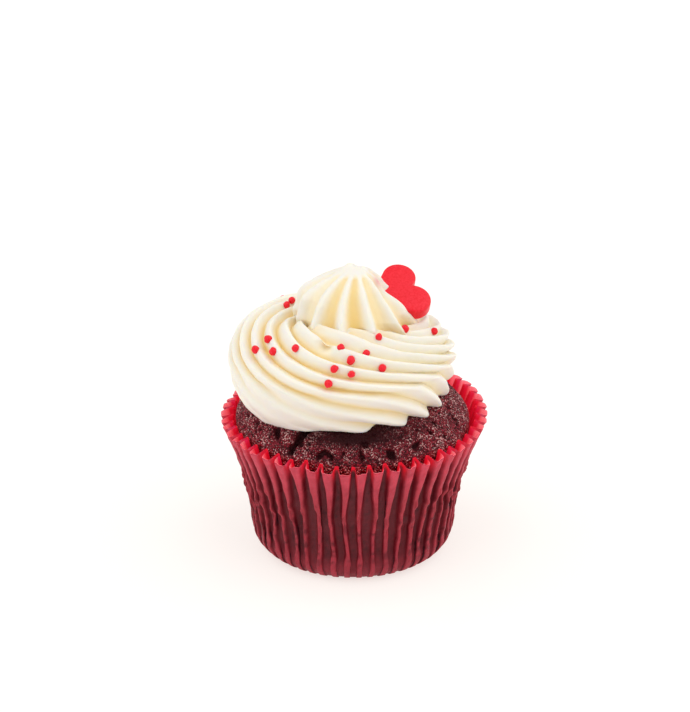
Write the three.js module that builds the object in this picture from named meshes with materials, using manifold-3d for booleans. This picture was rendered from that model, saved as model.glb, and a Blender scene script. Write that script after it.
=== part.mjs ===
// A cupcake: a pleated paper case, a domed cake, piped icing with sprinkles, and a sugar heart.
// Millimetres, +Z up. The origin is the middle of the base that the case stands on, +X is to
// the right of the front view and +Y is to the back.

import * as THREE from 'three';
import { mergeVertices } from 'three/addons/utils/BufferGeometryUtils.js';
import Module from 'manifold-3d';

const manifoldLibrary = await Module();
manifoldLibrary.setup();

const TURN = 2 * Math.PI;
const DEGREE = Math.PI / 180;

// ---- Driving dimensions -------------------------------------------------------------------

// Paper case
const CASE_HEIGHT = 38;
const CASE_RIM_RADIUS = 36.4; // to the outside of the pleats
const CASE_FOOT_RADIUS = 28.3; // just above the rounded foot
const CASE_FLARE = 2; // power of the height by which the wall opens out
const CASE_FOOT_ROUNDING = { inwards: 5.2, upwards: 6.4 };
// On this side the rim stands off and higher. The reach fades by a power of the height.
const CASE_OPENED = { azimuth: 32 * DEGREE, power: 4, reach: 1.5, fading: 5, lift: 1 };
const CASE_LEVELS = [0, 0.05, 0.16, 0.44, 0.72, 1]; // shares of the height with a ring of folds
const PAPER = 0.4;
const PLEATS = 50;
const PLEAT_DEPTH = { foot: 0.8, rim: 2.2 };
const OUTER_PANEL = { foot: 0.24, rim: 0.46 }; // share of a pleat
const INNER_PANEL = { foot: 0.46, rim: 0.14 }; // share of a pleat that lies against the cake
const PLEAT_SWAY = 0.16; // sideways kinks half way up, in pleats
const RIM_UNEVEN = 0.45; // how far the tops of the pleats lie above or below the rim
const RIM_UNEVEN_FADING = 8; // power of the height by which this fades downwards
const INNER_FOLD_LIFT = 1; // how much higher the inner folds end at the rim

// Cake
const CAKE_CLEARANCE = 0.3; // to the paper
const CAKE_SIDE_TOP = 36.5; // height at which the side turns into the dome
const CAKE_TOP = 52;
const DOME_POWER = 2.3; // how flat the dome is in the middle
const DOME_SHOULDER = 0.54; // how full it is towards its edge
// Its edge draws in on one side, and so does the side of the cake, by a power of the height
const DOME_PULL = { azimuth: 32 * DEGREE, power: 9, by: 2.2, from: 17, over: 13, fading: 6 };
const CAKE_COLUMNS = 72;
const CAKE_DOME_RINGS = 11;
const CRUMB = 0.45; // depth of the uneven surface
const ICING_CLEARANCE = 0.3; // between the cake and the icing

// Cracks in the dome, each along a line between two places: azimuth in degrees and radius
const CRACKS = [
  { from: [244, 26], to: [241, 29.8], width: 1.2, depth: 2.6 },
  { from: [241, 29.8], to: [238.5, 32.4], width: 1.1, depth: 2 },
  { from: [253, 31.6], to: [259, 31.8], width: 0.8, depth: 1.3 },
  { from: [226, 29.4], to: [228, 30.6], width: 1, depth: 1.5 },
  { from: [274, 29.6], to: [276, 31.4], width: 0.8, depth: 1.4 },
  { from: [287, 31.2], to: [290, 31.6], width: 0.8, depth: 1.4 },
  { from: [301, 31.1], to: [305, 31], width: 0.8, depth: 1.2 },
];

// Piped ring of icing: one thick turn whose section is made of quarter ellipses
const RING_CENTRE_X = -3;
const RING_SECTION_RADIUS = 17.5; // from the ring's centre to the highest line of the section
const RING_SECTION_HEIGHT = 56.5;
const RING_RISE = 11.1;
const RING_REACH_IN = 21.3;
const RING_REACH_OUT = 13.5;
const RING_EDGE_RADIUS = 27; // where the ring meets the cake
const RING_SPREAD = { azimuth: 335 * DEGREE, power: 2, reach: 2.2 }; // wider on this side
const RING_SINK = 1.8; // its top lies lower at the right
// Icing that the drop squeezed up in front of itself
const COLLAR = { azimuth: 265 * DEGREE, power: 1.5, rise: 3.3, down: 0.32, reach: 0.13 };
const RING_TOP_SHARE = 0.36; // share of the way from the middle to the edge at the highest line
const RING_STEPS = 16;
const RING_FIRST_STEP = 3;
const RING_MIDDLE_HEIGHT = 66;
const UNDERSIDE_RINGS = 6;

// Ridges that the star nozzle left on the ring. They run downhill as they go round.
const RIDGES_AROUND = 16;
const RIDGES_DOWN = 9.91; // ridges crossed from the middle to the edge
// How unevenly they follow one another: waves once, twice and three times round, in ridges
const RIDGE_SWAYS = [
  { times: 1, by: 0.6, phase: -40 * DEGREE },
  { times: 2, by: 0.305, phase: 124 * DEGREE },
  { times: 3, by: 0.315, phase: 69 * DEGREE },
];
const RIDGE_START = 8.8;
const RIDGE_DEPTH = 2.4;
const RIDGE_SHARPNESS = 1.4;
const RIDGE_SKEW = 0.15; // the side of a ridge that faces up is shorter by this share of a ridge
const RIDGE_COLUMNS = 4;
// Where the grooves are smeared low down at the left, and wiped smooth at the edge beside that
const SMEAR = { azimuth: 215 * DEGREE, power: 2, from: 0.55, over: 0.3, softening: 0.55 };
const WIPED = { azimuth: 235 * DEGREE, power: 4, from: 0.78, over: 0.16, softening: 0.9 };

// Star-shaped drop on top of the ring
const PEAK_CENTRE = new THREE.Vector2(-1.6, -0.6);
const PEAK_ROOT_HEIGHT = 63; // sunk in the ring
const PEAK_FOOT_HEIGHT = 65;
const PEAK_FOOT_RADIUS = 18.3;
const PEAK_TOP = 82;
const PEAK_BULGE = 1.3;
const PEAK_TAPER = 0.5;
const PEAK_TUCK = 0.02; // share of the radius by which the foot draws in
const PEAK_TUCK_SHIFT = new THREE.Vector2(1.3, 2); // to the side where it draws in least
const PEAK_TUCK_SHARE = 0.27; // of the height, where the foot starts to draw in
const PEAK_FINS = 12;
const PEAK_FIRST_FIN = 265.5 * DEGREE;
const PEAK_TWIST = -5 * DEGREE;
const PEAK_FIN_DEPTH = 3.5;
const PEAK_FIN_SHARPNESS = 4;
const PEAK_SMOOTH_TIP = 0.08; // share of the height over which the fins fade out
const PEAK_LEAN = 1.9; // how far the tip lies to the right of the middle
// On this side the drop has a shoulder at a share of its height, with a foot that is drawn in,
// and its grooves are softer
const PEAK_SHOULDER = {
  azimuth: 187 * DEGREE,
  power: 3,
  by: 2,
  up: 0.64,
  reach: 0.17,
  foot: 2.5,
  softening: 0.4,
};
// Here, beside the heart, it is pushed in
const PEAK_NOTCH = { azimuth: 2 * DEGREE, power: 7, by: 2.6, up: 0.66, reach: 0.2 };
const PEAK_STEPS = 11;
const PEAK_COLUMNS = 4;

// Sugar heart, stuck point first into the side of the drop
const HEART_WIDTH = 17.8;
const HEART_THICKNESS = 4.4;
const HEART_BEVEL = 0.7;
const HEART_CENTRE = new THREE.Vector3(14.35, 5.35, 72.3); // midway between its two lobes
const HEART_LEAN = 62 * DEGREE; // of the face, back from upright
const HEART_TURN = 11 * DEGREE; // of the face, to the right
const HEART_ROLL = -72 * DEGREE; // of the point, from straight down to the left
const HEART_CLEARANCE = 0.3;

// Sprinkles: azimuth in degrees and share of the way down the ring, then some more at random
const SPRINKLE_RADIUS = 1.1;
const SPRINKLE_PROUD = 0.45; // how far the middle of a sprinkle lies above the crests
const SPRINKLE_PLACES = [
  [216.5, 0.497], [214.7, 0.585], [226.2, 0.545], [239.8, 0.491], [143.5, 0.354],
  [150, 0.365], [269.8, 0.452], [301, 0.389], [287.2, 0.465], [275.7, 0.52],
  [266.2, 0.582], [275.3, 0.617], [293.7, 0.593], [263.5, 0.681], [335, 0.381],
  [354.7, 0.54],
];
const SPRINKLES_BEHIND = 10;

// Colours
const PAPER_RED = 0xad4952;
const CAKE_BROWN = 0x57202a;
const ICING_CREAM = 0xf4ebd3;
const SUGAR_RED = 0xf3283c;

// ---- Helpers ------------------------------------------------------------------------------

function seededRandom(seed) {
  let state = seed;
  return () => {
    state = (state + 0x6d2b79f5) | 0;
    let mixed = Math.imul(state ^ (state >>> 15), 1 | state);
    mixed = (mixed + Math.imul(mixed ^ (mixed >>> 7), 61 | mixed)) ^ mixed;
    return ((mixed ^ (mixed >>> 14)) >>> 0) / 4294967296;
  };
}

function mix(from, to, share) {
  return from + (to - from) * share;
}

function clampToUnit(value) {
  return Math.min(1, Math.max(0, value));
}

// How much an azimuth faces a side: a power of the cosine between them, and 0 behind it.
function towards(azimuth, side) {
  return Math.max(0, Math.cos(azimuth - side.azimuth)) ** side.power;
}

// A bell curve: 1 at the middle, and little more than a third one reach away from it.
function hill(value, middle, reach) {
  return Math.exp(-(((value - middle) / reach) ** 2));
}

function atAzimuth(azimuth, radius, height) {
  return new THREE.Vector3(radius * Math.cos(azimuth), radius * Math.sin(azimuth), height);
}

// A closed skin through rings of the same number of points, each ring counter-clockwise seen
// from above. It starts at one middle point and ends at another.
function skinOverRings(startPoint, rings, endPoint) {
  const count = rings[0].length;
  const points = [startPoint, ...rings.flat(), endPoint];
  const corner = (ring, column) => 1 + ring * count + (column % count);
  const last = rings.length - 1;
  const faces = [];
  for (let column = 0; column < count; column += 1) {
    faces.push(0, corner(0, column + 1), corner(0, column));
    for (let ring = 0; ring < last; ring += 1) {
      const lower = [corner(ring, column), corner(ring, column + 1)];
      const upper = [corner(ring + 1, column), corner(ring + 1, column + 1)];
      faces.push(lower[0], lower[1], upper[1]);
      faces.push(lower[0], upper[1], upper[0]);
    }
    faces.push(points.length - 1, corner(last, column), corner(last, column + 1));
  }
  const geometry = new THREE.BufferGeometry().setFromPoints(points);
  geometry.setIndex(faces);
  return geometry;
}

function toSolid(geometry) {
  const bare = geometry.clone();
  bare.deleteAttribute('normal');
  bare.deleteAttribute('uv');
  const merged = mergeVertices(bare, 1e-4);
  return new manifoldLibrary.Manifold(new manifoldLibrary.Mesh({
    numProp: 3,
    vertProperties: new Float32Array(merged.attributes.position.array),
    triVerts: new Uint32Array(merged.index.array),
  }));
}

function toGeometry(solid) {
  const mesh = solid.getMesh();
  const geometry = new THREE.BufferGeometry();
  geometry.setAttribute('position', new THREE.BufferAttribute(mesh.vertProperties, 3));
  geometry.setIndex(new THREE.BufferAttribute(mesh.triVerts, 1));
  return geometry;
}

// ---- Paper case ---------------------------------------------------------------------------

// Radius to the outside of the pleats: a flaring wall on a rounded foot.
function wallRadius(height) {
  const flare = (height / CASE_HEIGHT) ** CASE_FLARE;
  const below = Math.max(0, 1 - height / CASE_FOOT_ROUNDING.upwards);
  const rounding = CASE_FOOT_ROUNDING.inwards * (1 - Math.sqrt(1 - below * below));
  return mix(CASE_FOOT_RADIUS, CASE_RIM_RADIUS, flare) - rounding;
}

function pleatDepth(height) {
  return mix(PLEAT_DEPTH.foot, PLEAT_DEPTH.rim, (height / CASE_HEIGHT) ** 2);
}

// Each pleat has four folds: the two edges of its outer panel, then the two of its inner panel.
function makeCaseRing(share, inset, lift, pleats) {
  const height = share * CASE_HEIGHT;
  const outerHalf = mix(OUTER_PANEL.foot, OUTER_PANEL.rim, share) / 2;
  const innerHalf = mix(INNER_PANEL.foot, INNER_PANEL.rim, share) / 2;
  const kink = Math.sin(Math.PI * share);
  const atRim = share ** RIM_UNEVEN_FADING;
  const places = pleats.map((pleat) => pleat.place + kink * pleat.sway);
  return pleats.flatMap((pleat, index) => {
    const place = places[index];
    const between = 0.5 + (place + places[(index + 1) % PLEATS]) / 2;
    const folds = [
      { turn: place - outerHalf, inner: 0 },
      { turn: place + outerHalf, inner: 0 },
      { turn: between - innerHalf, inner: 1 },
      { turn: between + innerHalf, inner: 1 },
    ];
    return folds.map((fold) => {
      const azimuth = ((index + fold.turn) / PLEATS) * TURN;
      const opened = towards(azimuth, CASE_OPENED);
      const reach = CASE_OPENED.reach * opened * share ** CASE_OPENED.fading;
      const radius = wallRadius(height) + reach - inset - fold.inner * pleatDepth(height);
      const raised = pleat.lift + INNER_FOLD_LIFT * fold.inner + CASE_OPENED.lift * opened;
      return atAzimuth(azimuth, radius, height + lift + atRim * raised);
    });
  });
}

function makeCase() {
  const random = seededRandom(11);
  const pleats = Array.from({ length: PLEATS }, () => ({
    place: 0.1 * (random() - 0.5),
    sway: 2 * PLEAT_SWAY * (random() - 0.5),
    lift: 2 * RIM_UNEVEN * (random() - 0.5),
  }));
  const outside = CASE_LEVELS.map((share) => makeCaseRing(share, 0, 0, pleats));
  const inside = CASE_LEVELS.map((share) => makeCaseRing(share, PAPER, PAPER * (1 - share), pleats));
  const floorPoint = new THREE.Vector3(0, 0, PAPER);
  return skinOverRings(new THREE.Vector3(), [...outside, ...inside.reverse()], floorPoint);
}

// ---- Cake ---------------------------------------------------------------------------------

function cakeSideRadius(height) {
  return wallRadius(height) - pleatDepth(height) - PAPER - CAKE_CLEARANCE;
}

const CAKE_EDGE_RADIUS = cakeSideRadius(CAKE_SIDE_TOP);

// How far the cake is drawn in, towards its edge and on one side.
function domePull(radius, azimuth) {
  const near = clampToUnit((radius - DOME_PULL.from) / DOME_PULL.over);
  return DOME_PULL.by * near * towards(azimuth, DOME_PULL);
}

// Height of the dome: a flat crown that falls away ever faster towards the edge.
function domeHeight(radius, azimuth) {
  const pulled = radius + domePull(radius, azimuth);
  const crown = 1 - Math.min(1, pulled / CAKE_EDGE_RADIUS) ** DOME_POWER;
  return CAKE_SIDE_TOP + (CAKE_TOP - CAKE_SIDE_TOP) * crown ** DOME_SHOULDER;
}

function onPlan([degrees, radius]) {
  return new THREE.Vector2(radius, 0).rotateAround(new THREE.Vector2(), degrees * DEGREE);
}

// How deep the cracks are at a place on the plan: each is a rounded furrow along its line.
function crackDepth(place) {
  return CRACKS.reduce((deepest, crack) => {
    const from = onPlan(crack.from);
    const along = onPlan(crack.to).sub(from);
    const share = clampToUnit(place.clone().sub(from).dot(along) / along.lengthSq());
    const off = from.addScaledVector(along, share).distanceTo(place) / crack.width;
    return Math.max(deepest, crack.depth * Math.exp(-off * off));
  }, 0);
}

// A ring of the dome, sunk at right angles to the surface by crumb and cracks.
function makeDomeRing(fullRadius, random) {
  const step = 0.01;
  return Array.from({ length: CAKE_COLUMNS }, (_, column) => {
    const azimuth = (column / CAKE_COLUMNS) * TURN;
    const radius = fullRadius - domePull(fullRadius, azimuth);
    const height = domeHeight(radius, azimuth);
    const slope = (height - domeHeight(radius - step, azimuth)) / step;
    const steepness = Math.hypot(1, slope);
    const sunk = CRUMB * random() + crackDepth(onPlan([azimuth / DEGREE, radius]));
    const inwards = (sunk * -slope) / steepness;
    return atAzimuth(azimuth, radius - inwards, height - sunk / steepness);
  });
}

function makeCake() {
  const random = seededRandom(23);
  const floorHeight = PAPER + CAKE_CLEARANCE;
  const sides = CASE_LEVELS.map((share) => {
    const height = Math.min(CAKE_SIDE_TOP, floorHeight + share * CASE_HEIGHT);
    return Array.from({ length: CAKE_COLUMNS }, (_, column) => {
      const azimuth = (column / CAKE_COLUMNS) * TURN;
      const fade = (height / CAKE_SIDE_TOP) ** DOME_PULL.fading;
      const radius = cakeSideRadius(height - floorHeight) - fade * domePull(CAKE_EDGE_RADIUS, azimuth);
      return atAzimuth(azimuth, radius, height);
    });
  });
  const dome = Array.from({ length: CAKE_DOME_RINGS - 1 }, (_, ring) => {
    const radius = CAKE_EDGE_RADIUS * Math.cos(((ring + 1) / CAKE_DOME_RINGS) * (TURN / 4));
    return makeDomeRing(radius, random);
  });
  const middle = new THREE.Vector3(0, 0, CAKE_TOP);
  return skinOverRings(new THREE.Vector3(0, 0, floorHeight), [...sides, ...dome], middle);
}

// ---- Icing --------------------------------------------------------------------------------

// Ridges counted round the ring up to an azimuth.
function ridgesUpTo(azimuth) {
  return RIDGE_SWAYS.reduce(
    (count, { times, by, phase }) => count + by * Math.sin(times * azimuth + phase),
    (RIDGES_AROUND * azimuth) / TURN,
  );
}

// The azimuth at which that count is reached, by Newton's method.
function azimuthAfter(ridges) {
  let azimuth = (ridges * TURN) / RIDGES_AROUND;
  for (let step = 0; step < 12; step += 1) {
    const at = azimuth;
    const slope = RIDGE_SWAYS.reduce(
      (sum, { times, by, phase }) => sum + times * by * Math.cos(times * at + phase),
      RIDGES_AROUND / TURN,
    );
    azimuth -= (ridgesUpTo(azimuth) - ridges) / slope;
  }
  return azimuth;
}

// Where a place across a ridge lies when the crest is moved towards the ridge's upper side.
function skewed(across) {
  return across - RIDGE_SKEW * Math.sin(Math.PI * across) ** 2;
}

// The place that is moved to this one, found by repeated correction.
function unskewed(place) {
  let across = place;
  for (let step = 0; step < 8; step += 1) {
    across += place - skewed(across);
  }
  return across;
}

// What a smear leaves of the grooves' depth.
function leftBy(smear, azimuth, down) {
  const reached = clampToUnit((down - smear.from) / smear.over);
  return 1 - smear.softening * reached * towards(azimuth, smear);
}

// Depth of the grooves: softer towards the middle, and smeared low down at the left.
function grooveDepth(azimuth, down) {
  const full = RIDGE_DEPTH * mix(0.7, 1, clampToUnit(1.4 * down));
  return full * leftBy(SMEAR, azimuth, down) * leftBy(WIPED, azimuth, down);
}

function fromRingCentre(azimuth, radius, height) {
  return atAzimuth(azimuth, radius, height).add(new THREE.Vector3(RING_CENTRE_X, 0, 0));
}

// A point of the ring. The way down goes from 0 in the middle of the cake to 1 at the edge, and
// across is the place on a ridge: 0 on its crest and 0.5 in the groove beside it.
function ringPoint(azimuth, down, across) {
  const crest = Math.abs(Math.cos(Math.PI * across)) ** RIDGE_SHARPNESS;
  const cut = grooveDepth(azimuth, down) * (1 - crest);
  const edgeRadius = RING_EDGE_RADIUS + RING_SPREAD.reach * towards(azimuth, RING_SPREAD);
  const edge = fromRingCentre(azimuth, edgeRadius - cut, 0);
  const edgeHeight = domeHeight(edge.length(), Math.atan2(edge.y, edge.x)) + ICING_CLEARANCE;
  const squeezed = hill(down, COLLAR.down, COLLAR.reach) * towards(azimuth, COLLAR);
  const sunk = RING_SINK * (0.5 + 0.5 * Math.cos(azimuth)) ** 2;
  const rise = RING_RISE - sunk + COLLAR.rise * squeezed;
  const undercut = Math.acos((edgeRadius - RING_SECTION_RADIUS) / RING_REACH_OUT);
  let radius;
  let height;
  if (down < RING_TOP_SHARE) {
    radius = (RING_SECTION_RADIUS * down) / RING_TOP_SHARE;
    const inwards = (RING_SECTION_RADIUS - radius) / RING_REACH_IN;
    height = RING_SECTION_HEIGHT + rise * Math.sqrt(1 - inwards * inwards) - cut;
  } else {
    const share = (down - RING_TOP_SHARE) / (1 - RING_TOP_SHARE);
    const angle = TURN / 4 - share * (TURN / 4 + undercut);
    const fall = (RING_SECTION_HEIGHT - edgeHeight) / Math.sin(undercut);
    radius = RING_SECTION_RADIUS + (RING_REACH_OUT - cut) * Math.cos(angle);
    height = RING_SECTION_HEIGHT + (angle > 0 ? rise - cut : fall) * Math.sin(angle);
  }
  return fromRingCentre(azimuth, radius, height);
}

// The ring's skin, with its columns along the ridges, on an underside that follows the dome.
function makeRing() {
  const ringAt = (down) => Array.from({ length: RIDGES_AROUND * RIDGE_COLUMNS }, (_, column) => {
    const ridge = column / RIDGE_COLUMNS;
    const azimuth = azimuthAfter(RIDGES_DOWN * down + RIDGE_START + skewed(ridge));
    return ringPoint(azimuth, down, ridge);
  });
  const edge = ringAt(1);
  const underside = Array.from({ length: UNDERSIDE_RINGS }, (_, ring) => {
    const share = Math.sin(((ring + 1) / (UNDERSIDE_RINGS + 1)) * (TURN / 4));
    return edge.map(({ x, y }) => {
      const height = domeHeight(share * Math.hypot(x, y), Math.atan2(y, x));
      return new THREE.Vector3(share * x, share * y, height + ICING_CLEARANCE);
    });
  });
  const outside = [];
  for (let step = RING_STEPS; step >= RING_FIRST_STEP; step -= 1) {
    outside.push(ringAt(step / RING_STEPS));
  }
  const below = new THREE.Vector3(0, 0, CAKE_TOP + ICING_CLEARANCE);
  const middle = new THREE.Vector3(RING_CENTRE_X, 0, RING_MIDDLE_HEIGHT);
  return skinOverRings(below, [...underside, ...outside], middle);
}

// How far a bump on the drop stands out at a share of the height.
function bump(shape, up) {
  return shape.by * hill(up, shape.up, shape.reach);
}

// The drop's fins narrow from a foot that is drawn in, and fade out below the tip. The first
// section is the foot's, lower.
function makePeak() {
  const rings = Array.from({ length: PEAK_STEPS + 1 }, (_, step) => {
    const up = Math.sin((Math.max(0, step - 1) / PEAK_STEPS) * (TURN / 4));
    const height = step === 0 ? PEAK_ROOT_HEIGHT : mix(PEAK_FOOT_HEIGHT, PEAK_TOP, up);
    const tucked = Math.max(0, 1 - up / PEAK_TUCK_SHARE);
    const slimness = (1 - up ** PEAK_BULGE) ** PEAK_TAPER * (1 - PEAK_TUCK * tucked);
    const shift = new THREE.Vector3(PEAK_TUCK_SHIFT.x, PEAK_TUCK_SHIFT.y, 0).multiplyScalar(tucked);
    shift.x += PEAK_LEAN * up ** 3;
    const fins = clampToUnit((1 - up) / PEAK_SMOOTH_TIP);
    return Array.from({ length: PEAK_FINS * PEAK_COLUMNS }, (_, column) => {
      const fin = column / PEAK_COLUMNS;
      const crest = Math.abs(Math.cos(Math.PI * fin)) ** PEAK_FIN_SHARPNESS;
      const straight = PEAK_FIRST_FIN + (fin / PEAK_FINS) * TURN;
      const side = towards(straight, PEAK_SHOULDER);
      const cut = fins * (1 - crest) * (1 - PEAK_SHOULDER.softening * side);
      const full = slimness * (PEAK_FOOT_RADIUS - PEAK_FIN_DEPTH * cut);
      const bulge = side * (bump(PEAK_SHOULDER, up) - PEAK_SHOULDER.foot * (1 - up));
      const radius = full + bulge - towards(straight, PEAK_NOTCH) * bump(PEAK_NOTCH, up);
      return atAzimuth(straight + PEAK_TWIST * up, radius, height).add(shift);
    });
  });
  const root = new THREE.Vector3(PEAK_TUCK_SHIFT.x, PEAK_TUCK_SHIFT.y, PEAK_ROOT_HEIGHT);
  const tip = new THREE.Vector3(PEAK_LEAN, 0, PEAK_TOP);
  return skinOverRings(root, rings, tip).translate(PEAK_CENTRE.x, PEAK_CENTRE.y, 0);
}

// One sprinkle, half sunk in the ring. Outwards is away from the middle of the ring's section.
function makeSprinkle(azimuth, down, random) {
  const place = ringPoint(azimuth, down, 0);
  const section = fromRingCentre(azimuth, RING_SECTION_RADIUS, RING_SECTION_HEIGHT);
  const outwards = place.clone().sub(section).normalize();
  const across = ridgesUpTo(azimuth) - RIDGES_DOWN * down - RIDGE_START;
  const skin = ringPoint(azimuth, down, unskewed(across));
  skin.addScaledVector(outwards, SPRINKLE_PROUD);
  const sprinkle = new THREE.IcosahedronGeometry(SPRINKLE_RADIUS, 0);
  sprinkle.rotateX(TURN * random()).rotateZ(TURN * random());
  return sprinkle.translate(skin.x, skin.y, skin.z);
}

function makeSprinkles() {
  const random = seededRandom(5);
  const behind = Array.from({ length: SPRINKLES_BEHIND }, () => [
    mix(40, 140, random()),
    mix(0.48, 0.78, random()),
  ]);
  return [...SPRINKLE_PLACES, ...behind].map(([degrees, down]) => (
    makeSprinkle(degrees * DEGREE, down, random)
  ));
}

// Ring, drop and sprinkles are one body, with a pocket in which the heart sits.
function makeIcing() {
  const piped = toSolid(makeRing()).add(toSolid(makePeak()));
  const sprinkled = makeSprinkles().reduce((body, sprinkle) => body.add(toSolid(sprinkle)), piped);
  return toGeometry(sprinkled.subtract(toSolid(makeHeart(HEART_CLEARANCE))));
}

// ---- Sugar heart --------------------------------------------------------------------------

// The heart, or with a clearance all round, the room that it needs.
function makeHeart(clearance) {
  const half = HEART_WIDTH / 2;
  const lobe = { offset: 0.484 * half, radius: 0.516 * half };
  const notch = Math.acos(lobe.offset / lobe.radius);
  const cheek = 38 * DEGREE; // below its widest point, where a lobe turns into the point's side
  const outline = new THREE.Shape();
  outline.absarc(lobe.offset, 0, lobe.radius, Math.PI - notch, -cheek, true);
  outline.quadraticCurveTo(0.5 * half, -0.78 * half, 0, -1.15 * half);
  const left = [-lobe.offset - lobe.radius * Math.cos(cheek), -lobe.radius * Math.sin(cheek)];
  outline.quadraticCurveTo(-0.5 * half, -0.78 * half, ...left);
  outline.absarc(-lobe.offset, 0, lobe.radius, Math.PI + cheek, notch, true);
  const geometry = new THREE.ExtrudeGeometry(outline, {
    depth: HEART_THICKNESS - 2 * HEART_BEVEL,
    curveSegments: 6,
    bevelEnabled: true,
    bevelThickness: HEART_BEVEL + clearance,
    bevelSize: HEART_BEVEL,
    bevelOffset: clearance - HEART_BEVEL,
    bevelSegments: 2,
  });
  geometry.translate(0, 0, HEART_BEVEL - HEART_THICKNESS / 2);
  geometry.rotateZ(HEART_ROLL).rotateX(TURN / 4 - HEART_LEAN).rotateZ(HEART_TURN);
  return geometry.translate(HEART_CENTRE.x, HEART_CENTRE.y, HEART_CENTRE.z);
}

// ---- The whole ----------------------------------------------------------------------------

function makePart(name, geometry, colour, roughness) {
  const material = new THREE.MeshStandardMaterial({ color: colour, roughness, metalness: 0 });
  const mesh = new THREE.Mesh(geometry, material);
  mesh.name = name;
  return mesh;
}

const cupcake = new THREE.Group();
cupcake.add(makePart('paper_case', makeCase(), PAPER_RED, 0.55));
cupcake.add(makePart('cake', makeCake(), CAKE_BROWN, 0.9));
cupcake.add(makePart('icing', makeIcing(), ICING_CREAM, 0.4));
cupcake.add(makePart('sugar_heart', makeHeart(0), SUGAR_RED, 0.3));

export default cupcake;
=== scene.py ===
"""A cupcake: pleated paper case, domed cake, piped icing with sprinkles, and a sugar heart.

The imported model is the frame. Each operator makes one piece around it, as a surface worked out
with numpy in millimetres, and the panel in the sidebar lists them.
"""

import math

import bpy
import numpy as np
from mathutils import Matrix, Vector


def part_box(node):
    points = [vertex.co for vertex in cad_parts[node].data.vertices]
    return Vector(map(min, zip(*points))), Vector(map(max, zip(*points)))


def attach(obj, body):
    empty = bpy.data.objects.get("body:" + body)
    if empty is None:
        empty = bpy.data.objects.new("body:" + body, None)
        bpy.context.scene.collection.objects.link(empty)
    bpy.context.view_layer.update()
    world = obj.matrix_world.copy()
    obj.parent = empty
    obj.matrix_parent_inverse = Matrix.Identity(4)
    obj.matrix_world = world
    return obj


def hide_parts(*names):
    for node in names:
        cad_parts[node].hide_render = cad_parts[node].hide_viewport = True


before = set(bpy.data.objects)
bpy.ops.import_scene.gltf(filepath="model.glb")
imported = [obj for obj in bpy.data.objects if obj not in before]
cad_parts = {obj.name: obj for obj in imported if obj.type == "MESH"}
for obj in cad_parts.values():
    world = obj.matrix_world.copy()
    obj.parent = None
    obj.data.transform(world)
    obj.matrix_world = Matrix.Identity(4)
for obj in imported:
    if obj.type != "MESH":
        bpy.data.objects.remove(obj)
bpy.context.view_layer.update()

bl_info = {
    "name": "Cupcake",
    "version": (1, 0, 0),
    "blender": (4, 5, 0),
    "location": "View3D > Sidebar > Cupcake",
    "description": "Makes a cupcake in a pleated paper case, with piped icing and a sugar heart",
    "category": "Object",
}

MM = 0.001
TURN = 2 * math.pi
DEGREE = math.pi / 180

# ---- Places that the frame gives, in millimetres

CASE_RIM_RADIUS = -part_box("paper_case")[0][0] / MM
CAKE_BOTTOM, CAKE_TOP = (corner[2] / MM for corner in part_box("cake"))
ICING_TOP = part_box("icing")[1][2] / MM

# ---- Paper case: lengths here and below are in millimetres

CASE_HEIGHT = 38.0
CASE_FOOT_RADIUS = 28.3
CASE_FLARE = 2.0
FOOT_ROUNDING_IN = 5.2
FOOT_ROUNDING_UP = 6.4
OPENED_AZIMUTH = 32 * DEGREE  # here the rim stands off from the cake
OPENED_POWER = 4
OPENED_REACH = 1.5
OPENED_LIFT = 1.0
FOLD_HEIGHT = 22.0  # where the wide upper panels end in narrow ridges
FOLD_HEIGHT_SPREAD = 4.0
FOLD_DEPTH_FOOT = 1.45
FOLD_DEPTH_RIM = 3.1
FOLD_DEPTH_POWER = 2.2
# How far a pleat's middle sways at these heights, and how much wider its ridge is where it
# swells and at the foot, all as shares of a pleat
SWAY_HEIGHTS = (0.0, 5.0, 9.5, 15.5, FOLD_HEIGHT, 30.0, CASE_HEIGHT)
SWAYS = (0.05, 0.13, 0.19, 0.15, 0.17, 0.07, 0.04)
SWELLING = 0.13
FOOT_SPREAD = 0.13
# Half the width of an inner panel, at the fold and at the rim
INNER_WIDTH_FOLD = 0.3
INNER_WIDTH_RIM = 0.11
FOOT_FADE = 0.35  # how deep the folds still are at the very foot
# A panel's knuckle over its ridge: how far it stands out, its height over the fold and its reach
KNUCKLES = ((0.42, -0.4, 1.1), (-0.5, -2.8, 1.3))
SAMPLES_IN_PLEAT = 14
# Phases of a pleat at which its panels begin and end, from one outer panel's middle to the next
PANEL_PHASES = np.array([0.0, 0.18, 0.36, 0.64, 0.82, 1.0])
WALL_PHASES = 0.18
FOLD_SOFTNESS = 0.1

# ---- Cake

DOME_EDGE_RADIUS = 32.98
DOME_EDGE_HEIGHT = 36.5
DOME_POWER = 2.3
DOME_SHOULDER = 0.54
DOME_PULL = 2.2  # how far the dome's edge is drawn in where the rim stands off
DOME_PULL_POWER = 9
DOME_PULL_FROM = 17.0  # the radius where this begins, and the way over which it grows
DOME_PULL_OVER = 13.0
DOME_SPACING = 0.24  # from ring to ring of points
CAKE_TO_PAPER = 0.3
ICING_EDGE_INSIDE = 21.5  # radius inside which no cake shows
UNDER_ICING = 0.5  # how much lower the cake is there
GRAIN = 0.5  # from grain to grain of the crumb
HOLE_SPACING = 2.1
HOLE_DEPTH = 0.6
LUMP_HEIGHT = 0.2
FURROW_DEPTH = 0.3  # beside the paper
SHADE_AZIMUTH = 272 * DEGREE  # the icing's painted shadow on the crumb is darkest on this side, within this radius
SHADE_RADIUS = 30.8
SHADE_FADE = 1.6

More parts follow.
